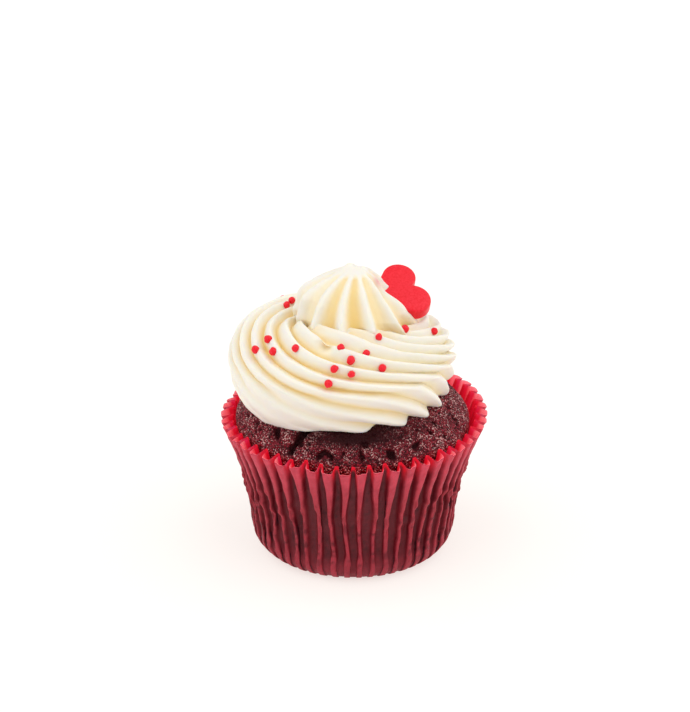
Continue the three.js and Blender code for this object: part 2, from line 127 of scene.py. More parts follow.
# Cracks and holes: azimuth in degrees and radius of both ends, width and depth
CRACKS = (
    (243.5, 26.5, 241, 29.8, 1.05, 2.4),
    (241, 29.8, 238.5, 32.2, 0.8, 1.9),
    (253, 31.9, 256, 31.3, 0.6, 1.3),
    (256, 31.3, 259.5, 31.9, 0.6, 1.3),
    (226, 29.6, 228, 30.4, 0.9, 1.5),
    (275, 29.4, 277, 29.7, 0.6, 1.2),
    (274, 30.9, 274.4, 32, 0.5, 1.1),
    (288, 31.3, 290, 31.8, 0.8, 1.5),
    (301.5, 31.2, 304.5, 30.9, 0.6, 1.2),
    (313, 29.5, 315, 30.2, 0.45, 0.9),
    (319, 28.2, 321, 28.7, 0.5, 0.9),
    (335, 30.0, 337, 30.6, 0.5, 0.9),
    (338, 27.5, 339, 28.0, 0.5, 0.9),
    (210, 30.2, 212, 30.7, 0.5, 1.0),
)

# ---- Piped ring of icing

RING_CENTRE = np.array([-3.0, 0, 0])
RING_MIDDLE_HEIGHT = 66.0  # inside the drop
ICING_OVER_CAKE = 0.15
SECTION_RADIUS = 17.5
SECTION_HEIGHT = 56.5
RING_RISE = 11.1
RING_REACH_IN = 21.3
RING_REACH_OUT = 13.5
RING_EDGE_RADIUS = 27.0
RING_SPREAD = 2.2
SPREAD_AZIMUTH = 335 * DEGREE
RING_SINK = 1.8
TOP_SHARE = 0.36
RIDGES_AROUND = 16
RIDGES_DOWN = 9.91
# How unevenly the ridges follow one another: a wave once, twice and three times round the ring,
# in ridges, and its phase in degrees
RIDGE_SWAYS = ((0.6, -40), (0.305, 124), (0.315, 69))
RIDGE_START = 8.8
RIDGE_SHARPNESS = 1.4
RIDGE_SKEW = 0.15  # the side of a ridge that faces up is this share shorter
SMEAR_AZIMUTH = 215 * DEGREE  # here the ridges are smeared from this share of the way down
SMEAR_DOWN = 0.55
WIPED_AZIMUTH = 235 * DEGREE  # and here they end in a smooth edge
WIPED_DOWN = 0.78
COLLAR_AZIMUTH = 265 * DEGREE
COLLAR = 3.3  # how far icing is squeezed up in front of the drop, and where on the way down
COLLAR_DOWN = 0.32
COLLAR_REACH = 0.13
PINCH_AZIMUTH = 258 * DEGREE  # here the piping was lifted off, low in front of the drop
PINCH_DOWN = 0.45
PINCH = 2.0
PINCH_REACH = 1.8
PAINTED_GOLD_AZIMUTH = 225 * DEGREE  # the grooves get the most painted golden shade on this side
FAINTEST_GOLD_AZIMUTH = 335 * DEGREE  # and the least on this

# ---- Drop of icing on top

PEAK_CENTRE = np.array([-1.6, -0.6])
PEAK_ROOT = 63.0
PEAK_FOOT = 65.0
PEAK_RADIUS = 18.3
PEAK_BULGE = 1.3
PEAK_TAPER = 0.5
PEAK_TUCK = 0.02
PEAK_TUCK_SHIFT = np.array([1.3, 2.0])
PEAK_TUCK_SHARE = 0.27
PEAK_FINS = 12
PEAK_FIRST_FIN = 265.5 * DEGREE
PEAK_FIN_SHARPNESS = 4.0
PEAK_TWIST = -5 * DEGREE
# The drop's painted golden shade between the fins is strongest on this side
PAINTED_GOLD_FIN = 268 * DEGREE
PEAK_LEAN = 1.9  # how far the tip lies to the right of the middle
SHOULDER_AZIMUTH = 187 * DEGREE
SHOULDER = 2.0  # how far the drop bulges on that side, and below that how far it is drawn in
SHOULDER_UP = 0.64
SHOULDER_REACH = 0.17
SHOULDER_TUCK = 2.5
TIP_LUMPS = ((-1.0, -0.4, 1.5, 2.1), (3.0, -0.2, 0.8, 1.3))  # place, height and reach of each
TIP_SINK = 0.8
NOTCH_AZIMUTH = 2 * DEGREE  # where the drop is pushed in beside the heart
NOTCH = 2.6
NOTCH_UP = 0.66
NOTCH_REACH = 0.2

# ---- Sprinkles: azimuth in degrees and share of the way down the ring

SPRINKLE_PLACES = (
    (216.5, 0.497), (214.7, 0.585), (226.2, 0.545), (239.8, 0.491), (143.5, 0.354),
    (150, 0.365), (269.8, 0.452), (301, 0.389), (287.2, 0.465), (275.7, 0.52),
    (266.2, 0.582), (275.3, 0.617), (293.7, 0.593), (263.5, 0.681), (335, 0.381),
    (354.7, 0.54),
)
SPRINKLES_BEHIND = 10
SPRINKLE_PROUD = 0.35  # how far a sprinkle's middle lies above the icing
SPRINKLES_SUNK = [6, 7, 8]  # these lie deeper
SPRINKLE_SUNK = 0.5

# ---- Heart

HEART_CENTRE = np.array([14.35, 5.35, 72.3])
HEART_LEAN = 62 * DEGREE
HEART_TURN = 11 * DEGREE
HEART_ROLL = -72 * DEGREE
HEART_FLATNESS = 2 / 7
HEART_STAIN = np.array([7.0, -1.2, 78.2])  # where its colour has run into the icing
STAIN_REACH = 1.6


# ---- Numbers

def mix(start, end, share):
    """The value that lies that share of the way from start to end."""
    return start + (end - start) * share


def towards(azimuth, direction, power):
    """How much an azimuth faces a direction: a power of the cosine between them, 0 behind it."""
    return np.maximum(0, np.cos(azimuth - direction)) ** power


def unit(values):
    """The values, held between 0 and 1."""
    return np.clip(values, 0, 1)


def hill(values, middle, reach):
    """A bell curve: 1 at the middle, and little more than a third one reach away from it."""
    return np.exp(-(((values - middle) / reach) ** 2))


def soft_step(values, softness):
    """A ramp from 0 at 0 to 1 at 1 with rounded corners: the difference of two hyperbolas."""
    rising = np.sqrt(values**2 + softness**2)
    falling = np.sqrt((values - 1) ** 2 + softness**2)
    return (rising - falling + 1) / 2


def cell_random(cells, seed):
    """A repeatable number from 0 to 1 for each cell of a lattice: its three whole numbers are
    multiplied by large odd numbers and scrambled."""
    whole = cells.astype(np.int64).astype(np.uint32)
    value = whole[..., 0] * np.uint32(0x8DA6B343)
    value = value ^ (whole[..., 1] * np.uint32(0xD8163841))
    value = value ^ (whole[..., 2] * np.uint32(0xCB1AB31F))
    value = value + np.uint32(seed * 7919 + 1)
    value = (value ^ (value >> np.uint32(15))) * np.uint32(0x2C1B3C6D)
    value = (value ^ (value >> np.uint32(12))) * np.uint32(0x297A2D39)
    value = value ^ (value >> np.uint32(15))
    return value / 4294967296.0


def seeded_random(seed):
    """Endless repeatable numbers from 0 to 1: a counter whose bits are multiplied and mixed."""
    bits = 0xFFFFFFFF
    state = seed
    while True:
        state = (state + 0x6D2B79F5) & bits
        mixed = ((state ^ (state >> 15)) * (1 | state)) & bits
        mixed = ((mixed + (mixed ^ (mixed >> 7)) * (61 | mixed)) & bits) ^ mixed
        yield ((mixed ^ (mixed >> 14)) & bits) / 4294967296


def soft_noise(points, size, seed):
    """Value noise from -1 to 1 with features of that size: the numbers at the eight corners of
    a point's cell are blended smoothly."""
    scaled = points / size
    base = np.floor(scaled)
    share = scaled - base
    share = share * share * (3 - 2 * share)
    total = np.zeros(points.shape[:-1])
    for corner in np.ndindex(2, 2, 2):
        weight = np.prod(np.where(corner, share, 1 - share), axis=-1)
        total += weight * cell_random(base + corner, seed)
    return 2 * total - 1


def layered_noise(points, seed, *layers):
    """A sum of soft noises, each given by its strength and the size of its features."""
    return sum(
        strength * soft_noise(points, size, seed + layer)
        for layer, (strength, size) in enumerate(layers)
    )


def grain_noise(points, size, seed):
    """Cellular noise: the distance, in cells, to the nearest grain's middle, and that grain's
    own number from 0 to 1. One middle lies at random in each cell of the lattice."""
    scaled = points / size
    base = np.floor(scaled)
    nearest = np.full(points.shape[:-1], 9.0)
    number = np.zeros(points.shape[:-1])
    for corner in np.ndindex(3, 3, 3):
        cell = base + corner - 1
        place = np.stack([cell_random(cell, seed + axis) for axis in range(3)], axis=-1)
        distance = np.linalg.norm(cell + place - scaled, axis=-1)
        closer = distance < nearest
        nearest = np.where(closer, distance, nearest)
        number = np.where(closer, cell_random(cell, seed + 3), number)
    return nearest, number


# ---- Surfaces

def polar(azimuth, radius, height):
    """Points at these azimuths, radii and heights, as one array."""
    parts = np.broadcast_arrays(radius * np.cos(azimuth), radius * np.sin(azimuth), height)
    return np.stack(parts, axis=-1)


def grid_normals(rings):
    """Outward normals of a grid of rings: the step along a ring crossed with the step upwards."""
    along = np.roll(rings, -1, axis=1) - np.roll(rings, 1, axis=1)
    upwards = np.gradient(rings, axis=0)
    normals = np.cross(along, upwards)
    return normals / np.maximum(np.linalg.norm(normals, axis=-1, keepdims=True), 1e-9)


def closed_skin(start, rings, end):
    """Points, quads and triangles of a closed skin over rings that run anticlockwise seen from
    above: quads between the rings, and a fan of triangles to the point at either end."""
    rows, columns = rings.shape[:2]
    points = np.concatenate([[start], rings.reshape(-1, 3), [end]])
    row, column = np.meshgrid(np.arange(rows - 1), np.arange(columns), indexing="ij")
    following = (column + 1) % columns
    lower = 1 + row * columns
    corners = (lower + column, lower + following)
    quads = np.stack([*corners, corners[1] + columns, corners[0] + columns], axis=-1)
    first = 1 + np.arange(columns)
    after = 1 + (np.arange(columns) + 1) % columns
    shift = (rows - 1) * columns
    below = np.stack([np.zeros(columns, int), after, first], axis=-1)
    above = np.stack([np.full(columns, len(points) - 1), first + shift, after + shift], axis=-1)
    return points, quads.reshape(-1, 4), np.concatenate([below, above])


def with_ends(*grids):
    """The values of grids that follow one another as one list, with the first and the last
    given again for the two end points."""
    flat = np.concatenate(grids).reshape(-1)
    return np.concatenate([flat[:1], flat, flat[-1:]])


def add_to_scene(name, data):
    """A new object in the scene, made of this mesh, light or camera."""
    made = bpy.data.objects.new(name, data)
    bpy.context.scene.collection.objects.link(made)
    return made


def set_mask(mesh, name, values):
    """Keeps one number for each point, under the name by which the material reads it."""
    mask = mesh.attributes.new(name, "FLOAT", "POINT")
    mask.data.foreach_set("value", values.astype(np.float32))


def make_object(name, skin, material, masks=None):
    """Puts a skin, in millimetres, and its masks into a new smooth object."""
    points, quads, triangles = skin
    mesh = bpy.data.meshes.new(name)
    mesh.vertices.add(len(points))
    mesh.vertices.foreach_set("co", (points * MM).astype(np.float32).ravel())
    corners = np.concatenate([quads.ravel(), triangles.ravel()]).astype(np.int32)
    counts = np.concatenate([np.full(len(quads), 4), np.full(len(triangles), 3)])
    mesh.loops.add(len(corners))
    mesh.loops.foreach_set("vertex_index", corners)
    mesh.polygons.add(len(counts))
    mesh.polygons.foreach_set("loop_start", (np.cumsum(counts) - counts).astype(np.int32))
    mesh.update(calc_edges=True)
    mesh.shade_smooth()
    for mask, values in (masks or {}).items():
        set_mask(mesh, mask, values)
    mesh.materials.append(material)
    return add_to_scene(name, mesh)


def fit_to_frame(piece, slot, *nodes):
    """The piece moves with the one body and hides the nodes it stands for. Its slot is not used.
    """
    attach(piece, "root")
    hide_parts(*nodes)


# ---- Colours and nodes

def srgb(code):
    """An sRGB hex colour as linear red, green and blue."""
    channels = [int(code[at:at + 2], 16) / 255 for at in (0, 2, 4)]
    return tuple(c / 12.92 if c <= 0.04045 else ((c + 0.055) / 1.055) ** 2.4 for c in channels)


def opaque(colour):
    """A colour with full alpha, as node sockets take it."""
    return (*colour[:3], 1.0)


def add_node(tree, kind, inputs=None, stops=None, **settings):
    """Adds a node with its settings. Inputs are values, sockets to link or nodes whose first
    socket is linked, by name or number. Stops are a colour ramp's positions and colours."""
    node = tree.nodes.new(kind)
    for name, value in settings.items():
        setattr(node, name, value)
    for key, value in (inputs or {}).items():
        if isinstance(value, bpy.types.Node):
            value = value.outputs[0]
        if isinstance(value, bpy.types.NodeSocket):
            tree.links.new(value, node.inputs[key])
        else:
            node.inputs[key].default_value = value
    for index, (position, colour) in enumerate(stops or ()):
        ramp = node.color_ramp.elements
        stop = ramp[index] if index < len(ramp) else ramp.new(position)
        stop.position = position
        stop.color = opaque(colour)
    return node


def start_material(name):
    """A new material and its empty node tree."""
    material = bpy.data.materials.new(name)
    material.use_nodes = True
    material.node_tree.nodes.clear()
    return material, material.node_tree


# ---- Settings that a user can change

def colour_setting(name, description, code):
    """A colour, given as its sRGB hex value."""
    return bpy.props.FloatVectorProperty(
        name=name, description=description, subtype="COLOR", default=srgb(code))


def length_setting(name, description, millimetres):
    """A length, given in millimetres and kept in metres."""
    return bpy.props.FloatProperty(
        name=name, description=description, unit="LENGTH", precision=5,
        default=millimetres * MM)


def count_setting(name, description, default):
    """A number of pleats or points."""
    return bpy.props.IntProperty(name=name, description=description, default=default, min=12)


# ---- Materials: food and paper read the place on the piece, and the masks in its mesh

def greaseproof_paper(look):
    """Greaseproof paper, dyed red and pressed into pleats. It is matte, a little translucent,
    and darkens to a purple brown where fat from the cake has soaked it."""
    material, tree = start_material("greaseproof_paper")
    place = add_node(tree, "ShaderNodeTexCoord").outputs["Object"]
    height = add_node(tree, "ShaderNodeSeparateXYZ", {0: place}).outputs["Z"]
    up = add_node(tree, "ShaderNodeMapRange", {0: height, 2: CASE_HEIGHT * MM})
    dry = add_node(tree, "ShaderNodeValToRGB", {0: up}, stops=(
        (0.0, look.paper_foot), (0.62, look.paper_panel), (1.0, look.paper_rim),
    ))
    # Masks: painted light at the rim, the soak of fat, painted shade on the sides of the folds,
    # and painted light on the inside of the outer panels
    painted_glow, soak, edge, painted_backlight = (
        add_node(tree, "ShaderNodeAttribute", attribute_name=mask).outputs["Fac"]
        for mask in ("painted_glow", "soak", "edge", "painted_backlight")
    )
    # Size in millimetres, detail and roughness of its blotches, fibres and crinkles. The fibres
    # are drawn coarser than real ones, so that they show
    blotches, fibres, crinkles = (
        add_node(tree, "ShaderNodeTexNoise", {
            "Vector": place, "Scale": 1 / (size * MM), "Detail": detail, "Roughness": roughness,
        })
        for size, detail, roughness in ((3.2, 4, 0.62), (0.35, 3, 0.5), (1.4, 3, 0.6))
    )
    uneven = add_node(tree, "ShaderNodeMapRange", {0: blotches, 1: 0.3, 2: 0.7, 3: 0.84, 4: 1.12})
    colour = add_node(tree, "ShaderNodeHueSaturation", {"Color": dry, "Value": uneven})
    for mask, tint in (
        (painted_glow, look.paper_painted_glow), (soak, look.paper_soaked),
        (edge, look.paper_fold_shade), (painted_backlight, look.paper_painted_backlight),
    ):
        colour = add_node(tree, "ShaderNodeMix", {
            0: mask, 6: colour, 7: opaque(tint),
        }, data_type="RGBA").outputs[2]
    # Painted light: an emission that stands in for light coming through the dry paper at the rim
    # from its other side
    lit = add_node(tree, "ShaderNodeMath", {0: painted_glow, 1: 0.45, 2: painted_backlight}, operation="MULTIPLY_ADD")
    through = add_node(tree, "ShaderNodeMix", {
        0: lit, 6: (0, 0, 0, 1), 7: colour,
    }, data_type="RGBA").outputs[2]
    relief = add_node(tree, "ShaderNodeMath", {0: fibres, 1: 0.35, 2: crinkles},
                      operation="MULTIPLY_ADD")
    bump = add_node(tree, "ShaderNodeBump", {
        "Height": relief, "Strength": 0.5, "Distance": 0.22 * MM,
    })
    rough = add_node(tree, "ShaderNodeMapRange", {0: soak, 3: 0.62, 4: 0.42})
    shader = add_node(tree, "ShaderNodeBsdfPrincipled", {
        "Base Color": colour, "Roughness": rough, "Normal": bump, "IOR": 1.45,
        "Specular IOR Level": 0.2, "Subsurface Weight": 0.35, "Subsurface Scale": 0.6 * MM,
        "Subsurface Radius": (1.0, 0.25, 0.25), "Emission Color": through,
        "Emission Strength": 0.35,
    })
    add_node(tree, "ShaderNodeOutputMaterial", {"Surface": shader})
    return material


def moist_crumb(look):
    """Moist cocoa crumb, coloured red: open, grainy and matte, with painted glints and shade."""
    material, tree = start_material("moist_crumb")
    place = add_node(tree, "ShaderNodeTexCoord").outputs["Object"]
    pit, shade = (
        add_node(tree, "ShaderNodeAttribute", attribute_name=mask).outputs["Fac"]
        for mask in ("pit", "shade")
    )
    # Size in millimetres, detail and roughness of the grains' ragged edges, of redder patches
    # and of fine crumbs
    ragged, patches, crumbs = (
        add_node(tree, "ShaderNodeTexNoise", {
            "Vector": place, "Scale": 1 / (size * MM), "Detail": detail, "Roughness": roughness,
        }).outputs[output]
        for size, detail, roughness, output in (
            (0.5, 2, 0.5, "Color"), (2.6, 3, 0.6, "Fac"), (0.42, 2, 0.6, "Fac"))
    )
    # Each moist grain has its own tone, and painted shade darkens the gaps between them
    wobbled = add_node(tree, "ShaderNodeVectorMath", {
        0: ragged, 1: (0.28 * MM,) * 3, 2: place,
    }, operation="MULTIPLY_ADD")
    grains = add_node(tree, "ShaderNodeTexVoronoi", {
        "Vector": wobbled, "Scale": 1 / (GRAIN * MM),
    }).outputs
    own = add_node(tree, "ShaderNodeSeparateColor", {0: grains["Color"]}).outputs
    colour = add_node(tree, "ShaderNodeValToRGB", {0: own[0]}, stops=(
        (0.0, look.crumb_dark_and_shade), (0.8, look.crumb_colour),
    ))
    red = add_node(tree, "ShaderNodeMath", {0: own[1], 1: patches}, operation="MULTIPLY")
    redder = add_node(tree, "ShaderNodeMapRange", {0: red, 1: 0.34, 2: 0.44, 4: 0.85})
    between = add_node(tree, "ShaderNodeMapRange", {
        0: grains["Distance"], 1: 0.3, 2: 0.75, 4: 0.85,
    })
    # Painted shade in the gaps between grains, and in holes and cracks
    deep = add_node(tree, "ShaderNodeMath", {0: between, 1: pit}, operation="MAXIMUM")
    # Painted glints: light flecks that stand in for highlights on damp sugar, only out of the
    # pits
    bright = add_node(tree, "ShaderNodeMath", {0: patches, 1: 0.35, 2: crumbs},
                      operation="MULTIPLY_ADD")
    glint = add_node(tree, "ShaderNodeMapRange", {0: bright, 1: 0.76, 2: 0.82})
    proud = add_node(tree, "ShaderNodeMapRange", {0: pit, 1: 0.3, 2: 0.7, 3: 1, 4: 0})
    painted_glint = add_node(tree, "ShaderNodeMath", {0: glint, 1: proud}, operation="MULTIPLY")
    # Over the grains' tones: redder patches, painted shade in gaps, pits and cracks, painted
    # glints, and the icing's painted shadow
    for share, tint in (
        (redder, look.crumb_red), (deep, look.crumb_dark_and_shade),
        (painted_glint, look.crumb_painted_glint), (shade, look.crumb_painted_shadow),
    ):
        colour = add_node(tree, "ShaderNodeMix", {
            0: share, 6: colour, 7: opaque(tint),
        }, data_type="RGBA").outputs[2]
    relief = add_node(tree, "ShaderNodeMath", {0: crumbs, 1: 0.5, 2: grains["Distance"]},
                      operation="MULTIPLY_ADD")
    bump = add_node(tree, "ShaderNodeBump", {
        "Height": relief, "Strength": 0.9, "Distance": 0.35 * MM,
    }, invert=True)
    damp = add_node(tree, "ShaderNodeMapRange", {0: own[2], 3: 0.3, 4: 0.65})
    shader = add_node(tree, "ShaderNodeBsdfPrincipled", {
        "Base Color": colour, "Roughness": damp, "Normal": bump, "IOR": 1.45,
        "Specular IOR Level": 0.14,
    })
    add_node(tree, "ShaderNodeOutputMaterial", {"Surface": shader})
    return material


def butter_icing(look):
    """Whipped butter icing, piped through a star nozzle: soft and satin. Light sinks into it
    and comes out a little warmer. The grooves are painted warmer than the crests as well,
    and the deepest get a painted golden shade."""
    material, tree = start_material("butter_icing")
    place = add_node(tree, "ShaderNodeTexCoord").outputs["Object"]
    groove, painted_gold, stain = (
        add_node(tree, "ShaderNodeAttribute", attribute_name=mask).outputs["Fac"]
        for mask in ("groove", "painted_gold", "stain")
    )
    # Size in millimetres and roughness of soft clouds of tone and of tiny air bubbles, which are
    # drawn coarser than real ones, so that they show
    clouds, bubbles = (
        add_node(tree, "ShaderNodeTexNoise", {
            "Vector": place, "Scale": 1 / (size * MM), "Detail": 3, "Roughness": roughness,
        })
        for size, roughness in ((5, 0.5), (0.5, 0.55))
    )
    shifted = add_node(tree, "ShaderNodeMath", {0: clouds, 1: 0.22, 2: groove},
                       operation="MULTIPLY_ADD")
    depth = add_node(tree, "ShaderNodeMapRange", {0: shifted, 1: 0.2, 2: 1.2},
                     interpolation_type="SMOOTHSTEP")
    # Painted warm light in the grooves, painted golden shade in the deepest, and the heart's
    # stain
    colour = opaque(look.icing_crest)
    for share, tint in (
        (depth, look.icing_groove_painted_warmth), (painted_gold, look.icing_painted_gold), (stain, look.icing_stain),
    ):
        colour = add_node(tree, "ShaderNodeMix", {
            0: share, 6: colour, 7: opaque(tint),
        }, data_type="RGBA").outputs[2]
    bump = add_node(tree, "ShaderNodeBump", {
        "Height": bubbles, "Strength": 0.25, "Distance": 0.12 * MM,
    })
    shader = add_node(tree, "ShaderNodeBsdfPrincipled", {
        "Base Color": colour, "Roughness": 0.5, "Normal": bump, "IOR": 1.45,
        "Specular IOR Level": 0.3, "Subsurface Weight": 0.5, "Subsurface Scale": 0.8 * MM,
        "Subsurface Radius": (1.0, 0.85, 0.55),
    })
    add_node(tree, "ShaderNodeOutputMaterial", {"Surface": shader})
    return material


def pressed_sugar(name, look, grit, relief):
    """Coloured sugar, pressed for the heart and rolled for the sprinkles. It is satin and a
    little translucent, with a grit of that size and relief in millimetres."""
    material, tree = start_material(name)
    place = add_node(tree, "ShaderNodeTexCoord").outputs["Object"]
    speckle = add_node(tree, "ShaderNodeTexNoise", {
        "Vector": place, "Scale": 1 / (grit * MM), "Detail": 3, "Roughness": 0.6,
    })
    tone = add_node(tree, "ShaderNodeMapRange", {0: speckle, 1: 0.35, 2: 0.68})
    colour = add_node(tree, "ShaderNodeMix", {
        0: tone, 6: opaque(look.sugar_red), 7: opaque(look.sugar_light),
    }, data_type="RGBA").outputs[2]
    bump = add_node(tree, "ShaderNodeBump", {
        "Height": speckle, "Strength": 0.35, "Distance": relief * MM,
    })
    shader = add_node(tree, "ShaderNodeBsdfPrincipled", {
        "Base Color": colour, "Roughness": 0.36, "Normal": bump, "IOR": 1.5,
        "Specular IOR Level": 0.28, "Subsurface Weight": 0.3, "Subsurface Scale": 0.5 * MM,
        "Subsurface Radius": (1.0, 0.2, 0.2),
    })
    add_node(tree, "ShaderNodeOutputMaterial", {"Surface": shader})
    return material


def backlit_acrylic(look):
    """Plain matt acrylic board, lit softly from below, so that shadows on it stay faint."""
    material, tree = start_material("backlit_acrylic")
    shader = add_node(tree, "ShaderNodeBsdfPrincipled", {
        "Base Color": opaque(look.floor_colour), "Roughness": 0.85, "Specular IOR Level": 0.0,
        "Emission Color": opaque(look.floor_light), "Emission Strength": 0.7,
    })
    add_node(tree, "ShaderNodeOutputMaterial", {"Surface": shader})
    return material


# ---- Paper case

def case_radius(height, azimuth, rim_radius):
    """Radius to the outside of the pleats: a wall that flares with a power of the height, drawn
    in along a quarter ellipse at the foot, and opened further at the rim on one side."""
    share = unit(height / CASE_HEIGHT)
    below = unit(1 - height / FOOT_ROUNDING_UP)
    rounding = FOOT_ROUNDING_IN * (1 - np.sqrt(1 - below**2))
    opened = OPENED_REACH * towards(azimuth, OPENED_AZIMUTH, OPENED_POWER) * share**5
    return mix(CASE_FOOT_RADIUS, rim_radius, share**CASE_FLARE) - rounding + opened


def deepest_fold(height):
    """How far the deepest folds reach in from the outside of the pleats: from the foot's depth
    to the rim's with a power of the height."""
    return mix(FOLD_DEPTH_FOOT, FOLD_DEPTH_RIM, unit(height / CASE_HEIGHT) ** FOLD_DEPTH_POWER)


def pleat_rules(pleats):
    """The uneven numbers of each pleat, drawn with a fixed seed: how far its middle sways at
    each of SWAY_HEIGHTS, the height of its fold, half the width of its ridge and of its panel,
    how deep it is, a swelling of the ridge, how high its rim stands, and how dark its fold is."""
    draw = np.random.default_rng(11)
    return {
        "sway": draw.uniform(-1, 1, (pleats, len(SWAYS))) * SWAYS,
        "fold": FOLD_HEIGHT + FOLD_HEIGHT_SPREAD * draw.uniform(-1, 1, pleats),
        "ridge": draw.uniform(0.07, 0.16, pleats),
        "depth": draw.uniform(0.72, 1.0, pleats),
        "swelling": SWELLING * (draw.random(pleats) > 0.45) * draw.uniform(0.5, 1, pleats),
        "swelling_height": draw.uniform(5, 8, pleats),
        "lift": draw.uniform(-0.45, 0.45, pleats),
        "width": draw.uniform(0.28, 0.36, pleats),
        "dark": np.where(draw.random(pleats) > 0.84, 1.0, 0.35 * draw.random(pleats)),
    }


def pleated_wall(heights, inset, pleats, rim_radius):
    """The wall as a grid of rings at these heights. Each pleat has an outer panel, a wall, an
    inner panel and a wall again. The panels' edges are folds whose places change with the
    height: wide panels taper from the rim to a narrow ridge, which zigzags down to the foot.
    Returns the points, and how far in each lies: 0 on the outer panels and 1 in the folds."""
    rules = pleat_rules(pleats)
    rows = heights[:, None]
    sway = np.stack([np.interp(heights, SWAY_HEIGHTS, row) for row in rules["sway"]], axis=1)
    over = rows - rules["fold"]
    above = unit(over / (CASE_HEIGHT - rules["fold"]))
    swelling = rules["swelling"] * hill(rows, rules["swelling_height"], 1.7)
    middle = np.arange(pleats) + sway
    spread = FOOT_SPREAD * unit((8.5 - rows) / 6)
    outer = mix(rules["ridge"], rules["width"], above**1.25) + swelling + spread
    inner = mix(INNER_WIDTH_FOLD, INNER_WIDTH_RIM, above**0.95) - swelling / 2
    next_middle = np.roll(middle, -1, axis=1)
    next_middle[:, -1] += pleats
    between = (middle + next_middle) / 2
    folds = np.stack([
        middle, middle + outer, between - inner, between + inner,
        next_middle - np.roll(outer, -1, axis=1), next_middle,
    ], axis=-1)
    phases = np.arange(SAMPLES_IN_PLEAT) / SAMPLES_IN_PLEAT
    segment = np.searchsorted(PANEL_PHASES, phases, side="right") - 1
    along = (phases - PANEL_PHASES[segment]) / np.diff(PANEL_PHASES)[segment]
    places = mix(folds[..., segment], folds[..., segment + 1], along)
    azimuth = (places / pleats * TURN).reshape(len(heights), -1)
    inwards = soft_step((phases - PANEL_PHASES[1]) / WALL_PHASES, FOLD_SOFTNESS)
    inwards = inwards * soft_step((PANEL_PHASES[4] - phases) / WALL_PHASES, FOLD_SOFTNESS)
    share = np.broadcast_to(inwards, places.shape)
    knuckle = sum(out * hill(over, height, reach) for out, height, reach in KNUCKLES)
    foot_fade = mix(FOOT_FADE, 1, unit(rows / 9))
    depth = deepest_fold(rows) * mix(rules["depth"], 0.97, above) * foot_fade
    drawn_in = depth[..., None] * share - knuckle[..., None] * (1 - share)
    radius = case_radius(rows, azimuth, rim_radius) - drawn_in.reshape(azimuth.shape)
    lift = (rules["lift"][:, None] + share).reshape(azimuth.shape)
    lift = lift + OPENED_LIFT * towards(azimuth, OPENED_AZIMUTH, OPENED_POWER)
    height = rows + (rows / CASE_HEIGHT) ** 8 * lift
    # Crumpled all over, most at the middle of the wall, and flat under the foot
    crumple = layered_noise(polar(azimuth, radius, height), 3, (0.18, 2.6), (0.11, 1.1))
    crumple = crumple * (1 + 0.6 * hill(rows, 17, 8)) * unit(rows / 4)
    return polar(azimuth, radius + crumple - inset, height), share.reshape(azimuth.shape)


def paper_masks(outside, share, heights, pleats):
    """The case's masks: ramps of the height and of how far in the paper lies, broken up by
    noise. Fat soaks the folds up to the rim, and dots the ridges. Painted shade darkens the
    sides of the folds, and in some pleats all the fold is darker. At the rim painted light
    makes the folds and the inner face a bright red, and the inside of the outer panels a
    light pink, as if lit through from behind."""
    up = np.broadcast_to((heights / CASE_HEIGHT)[:, None], share.shape)
    wet = layered_noise(outside, 8, (1, 4.5), (0.6, 1.5))
    specks = unit((soft_noise(outside, 0.9, 10) + 0.5 * wet - 0.1) / 0.5)
    deep = unit(share * 1.6 - 0.6)
    deepest = unit((share - 0.86) / 0.1) * unit((0.985 - up) / 0.03)
    below_rim = unit((0.9 - up + 0.05 * wet) / 0.12)
    at_foot = unit((0.24 - up + 0.04 * wet) / 0.12)
    dots = 0.75 * specks * unit((0.62 - up) / 0.2) * unit((up - 0.05) / 0.1)
    soak = deep * np.maximum(below_rim, deepest) * mix(0.8, 1, specks)
    soak = np.maximum(soak, dots) * (1 - 0.6 * at_foot)
    # Painted shade on the sides of the folds and beside the inner folds below the rim; in some
    # pleats the whole fold is darker
    edge = unit(1 - np.abs(share - 0.5) / 0.46 + 0.25 * specks)
    phases = np.tile(np.arange(SAMPLES_IN_PLEAT) / SAMPLES_IN_PLEAT, pleats)
    beside = unit((np.abs(phases - 0.5) - 0.06 + 0.035 * wet) / 0.05) * deep
    edge = np.maximum(edge, 0.85 * beside * below_rim) * (1 - 0.5 * at_foot)
    dark = np.repeat(pleat_rules(pleats)["dark"], SAMPLES_IN_PLEAT)
    edge = np.maximum(edge, dark * deep * unit((0.75 - up) / 0.1))
    # Painted light where the folds and the inner face reach the rim
    painted_glow = unit(share * 1.5) * unit((up - 0.86) / 0.1) * (1 - 0.85 * deepest)
    # Painted light on the inside of the outer panels near the rim, as if lit through from behind
    painted_backlight = unit(1 - 2 * share) * unit((up - 0.88) / 0.08)
    inner_painted_glow = unit((up - 0.8) / 0.08)
    blank = np.zeros_like(painted_backlight)
    return {
        "soak": with_ends(soak, 1 - inner_painted_glow[::-1]),
        "edge": with_ends(edge * (1 - painted_glow), blank),
        "painted_glow": with_ends(painted_glow, inner_painted_glow[::-1]),
        "painted_backlight": with_ends(blank, painted_backlight[::-1]),
    }


def case_heights():
    """Heights of the rings: close together in the rounded foot, and even above it."""
    rounded = FOOT_ROUNDING_UP * (1 - np.cos(np.linspace(0, TURN / 4, 14)))
    return np.concatenate([rounded, np.linspace(FOOT_ROUNDING_UP, CASE_HEIGHT, 46)[1:]])


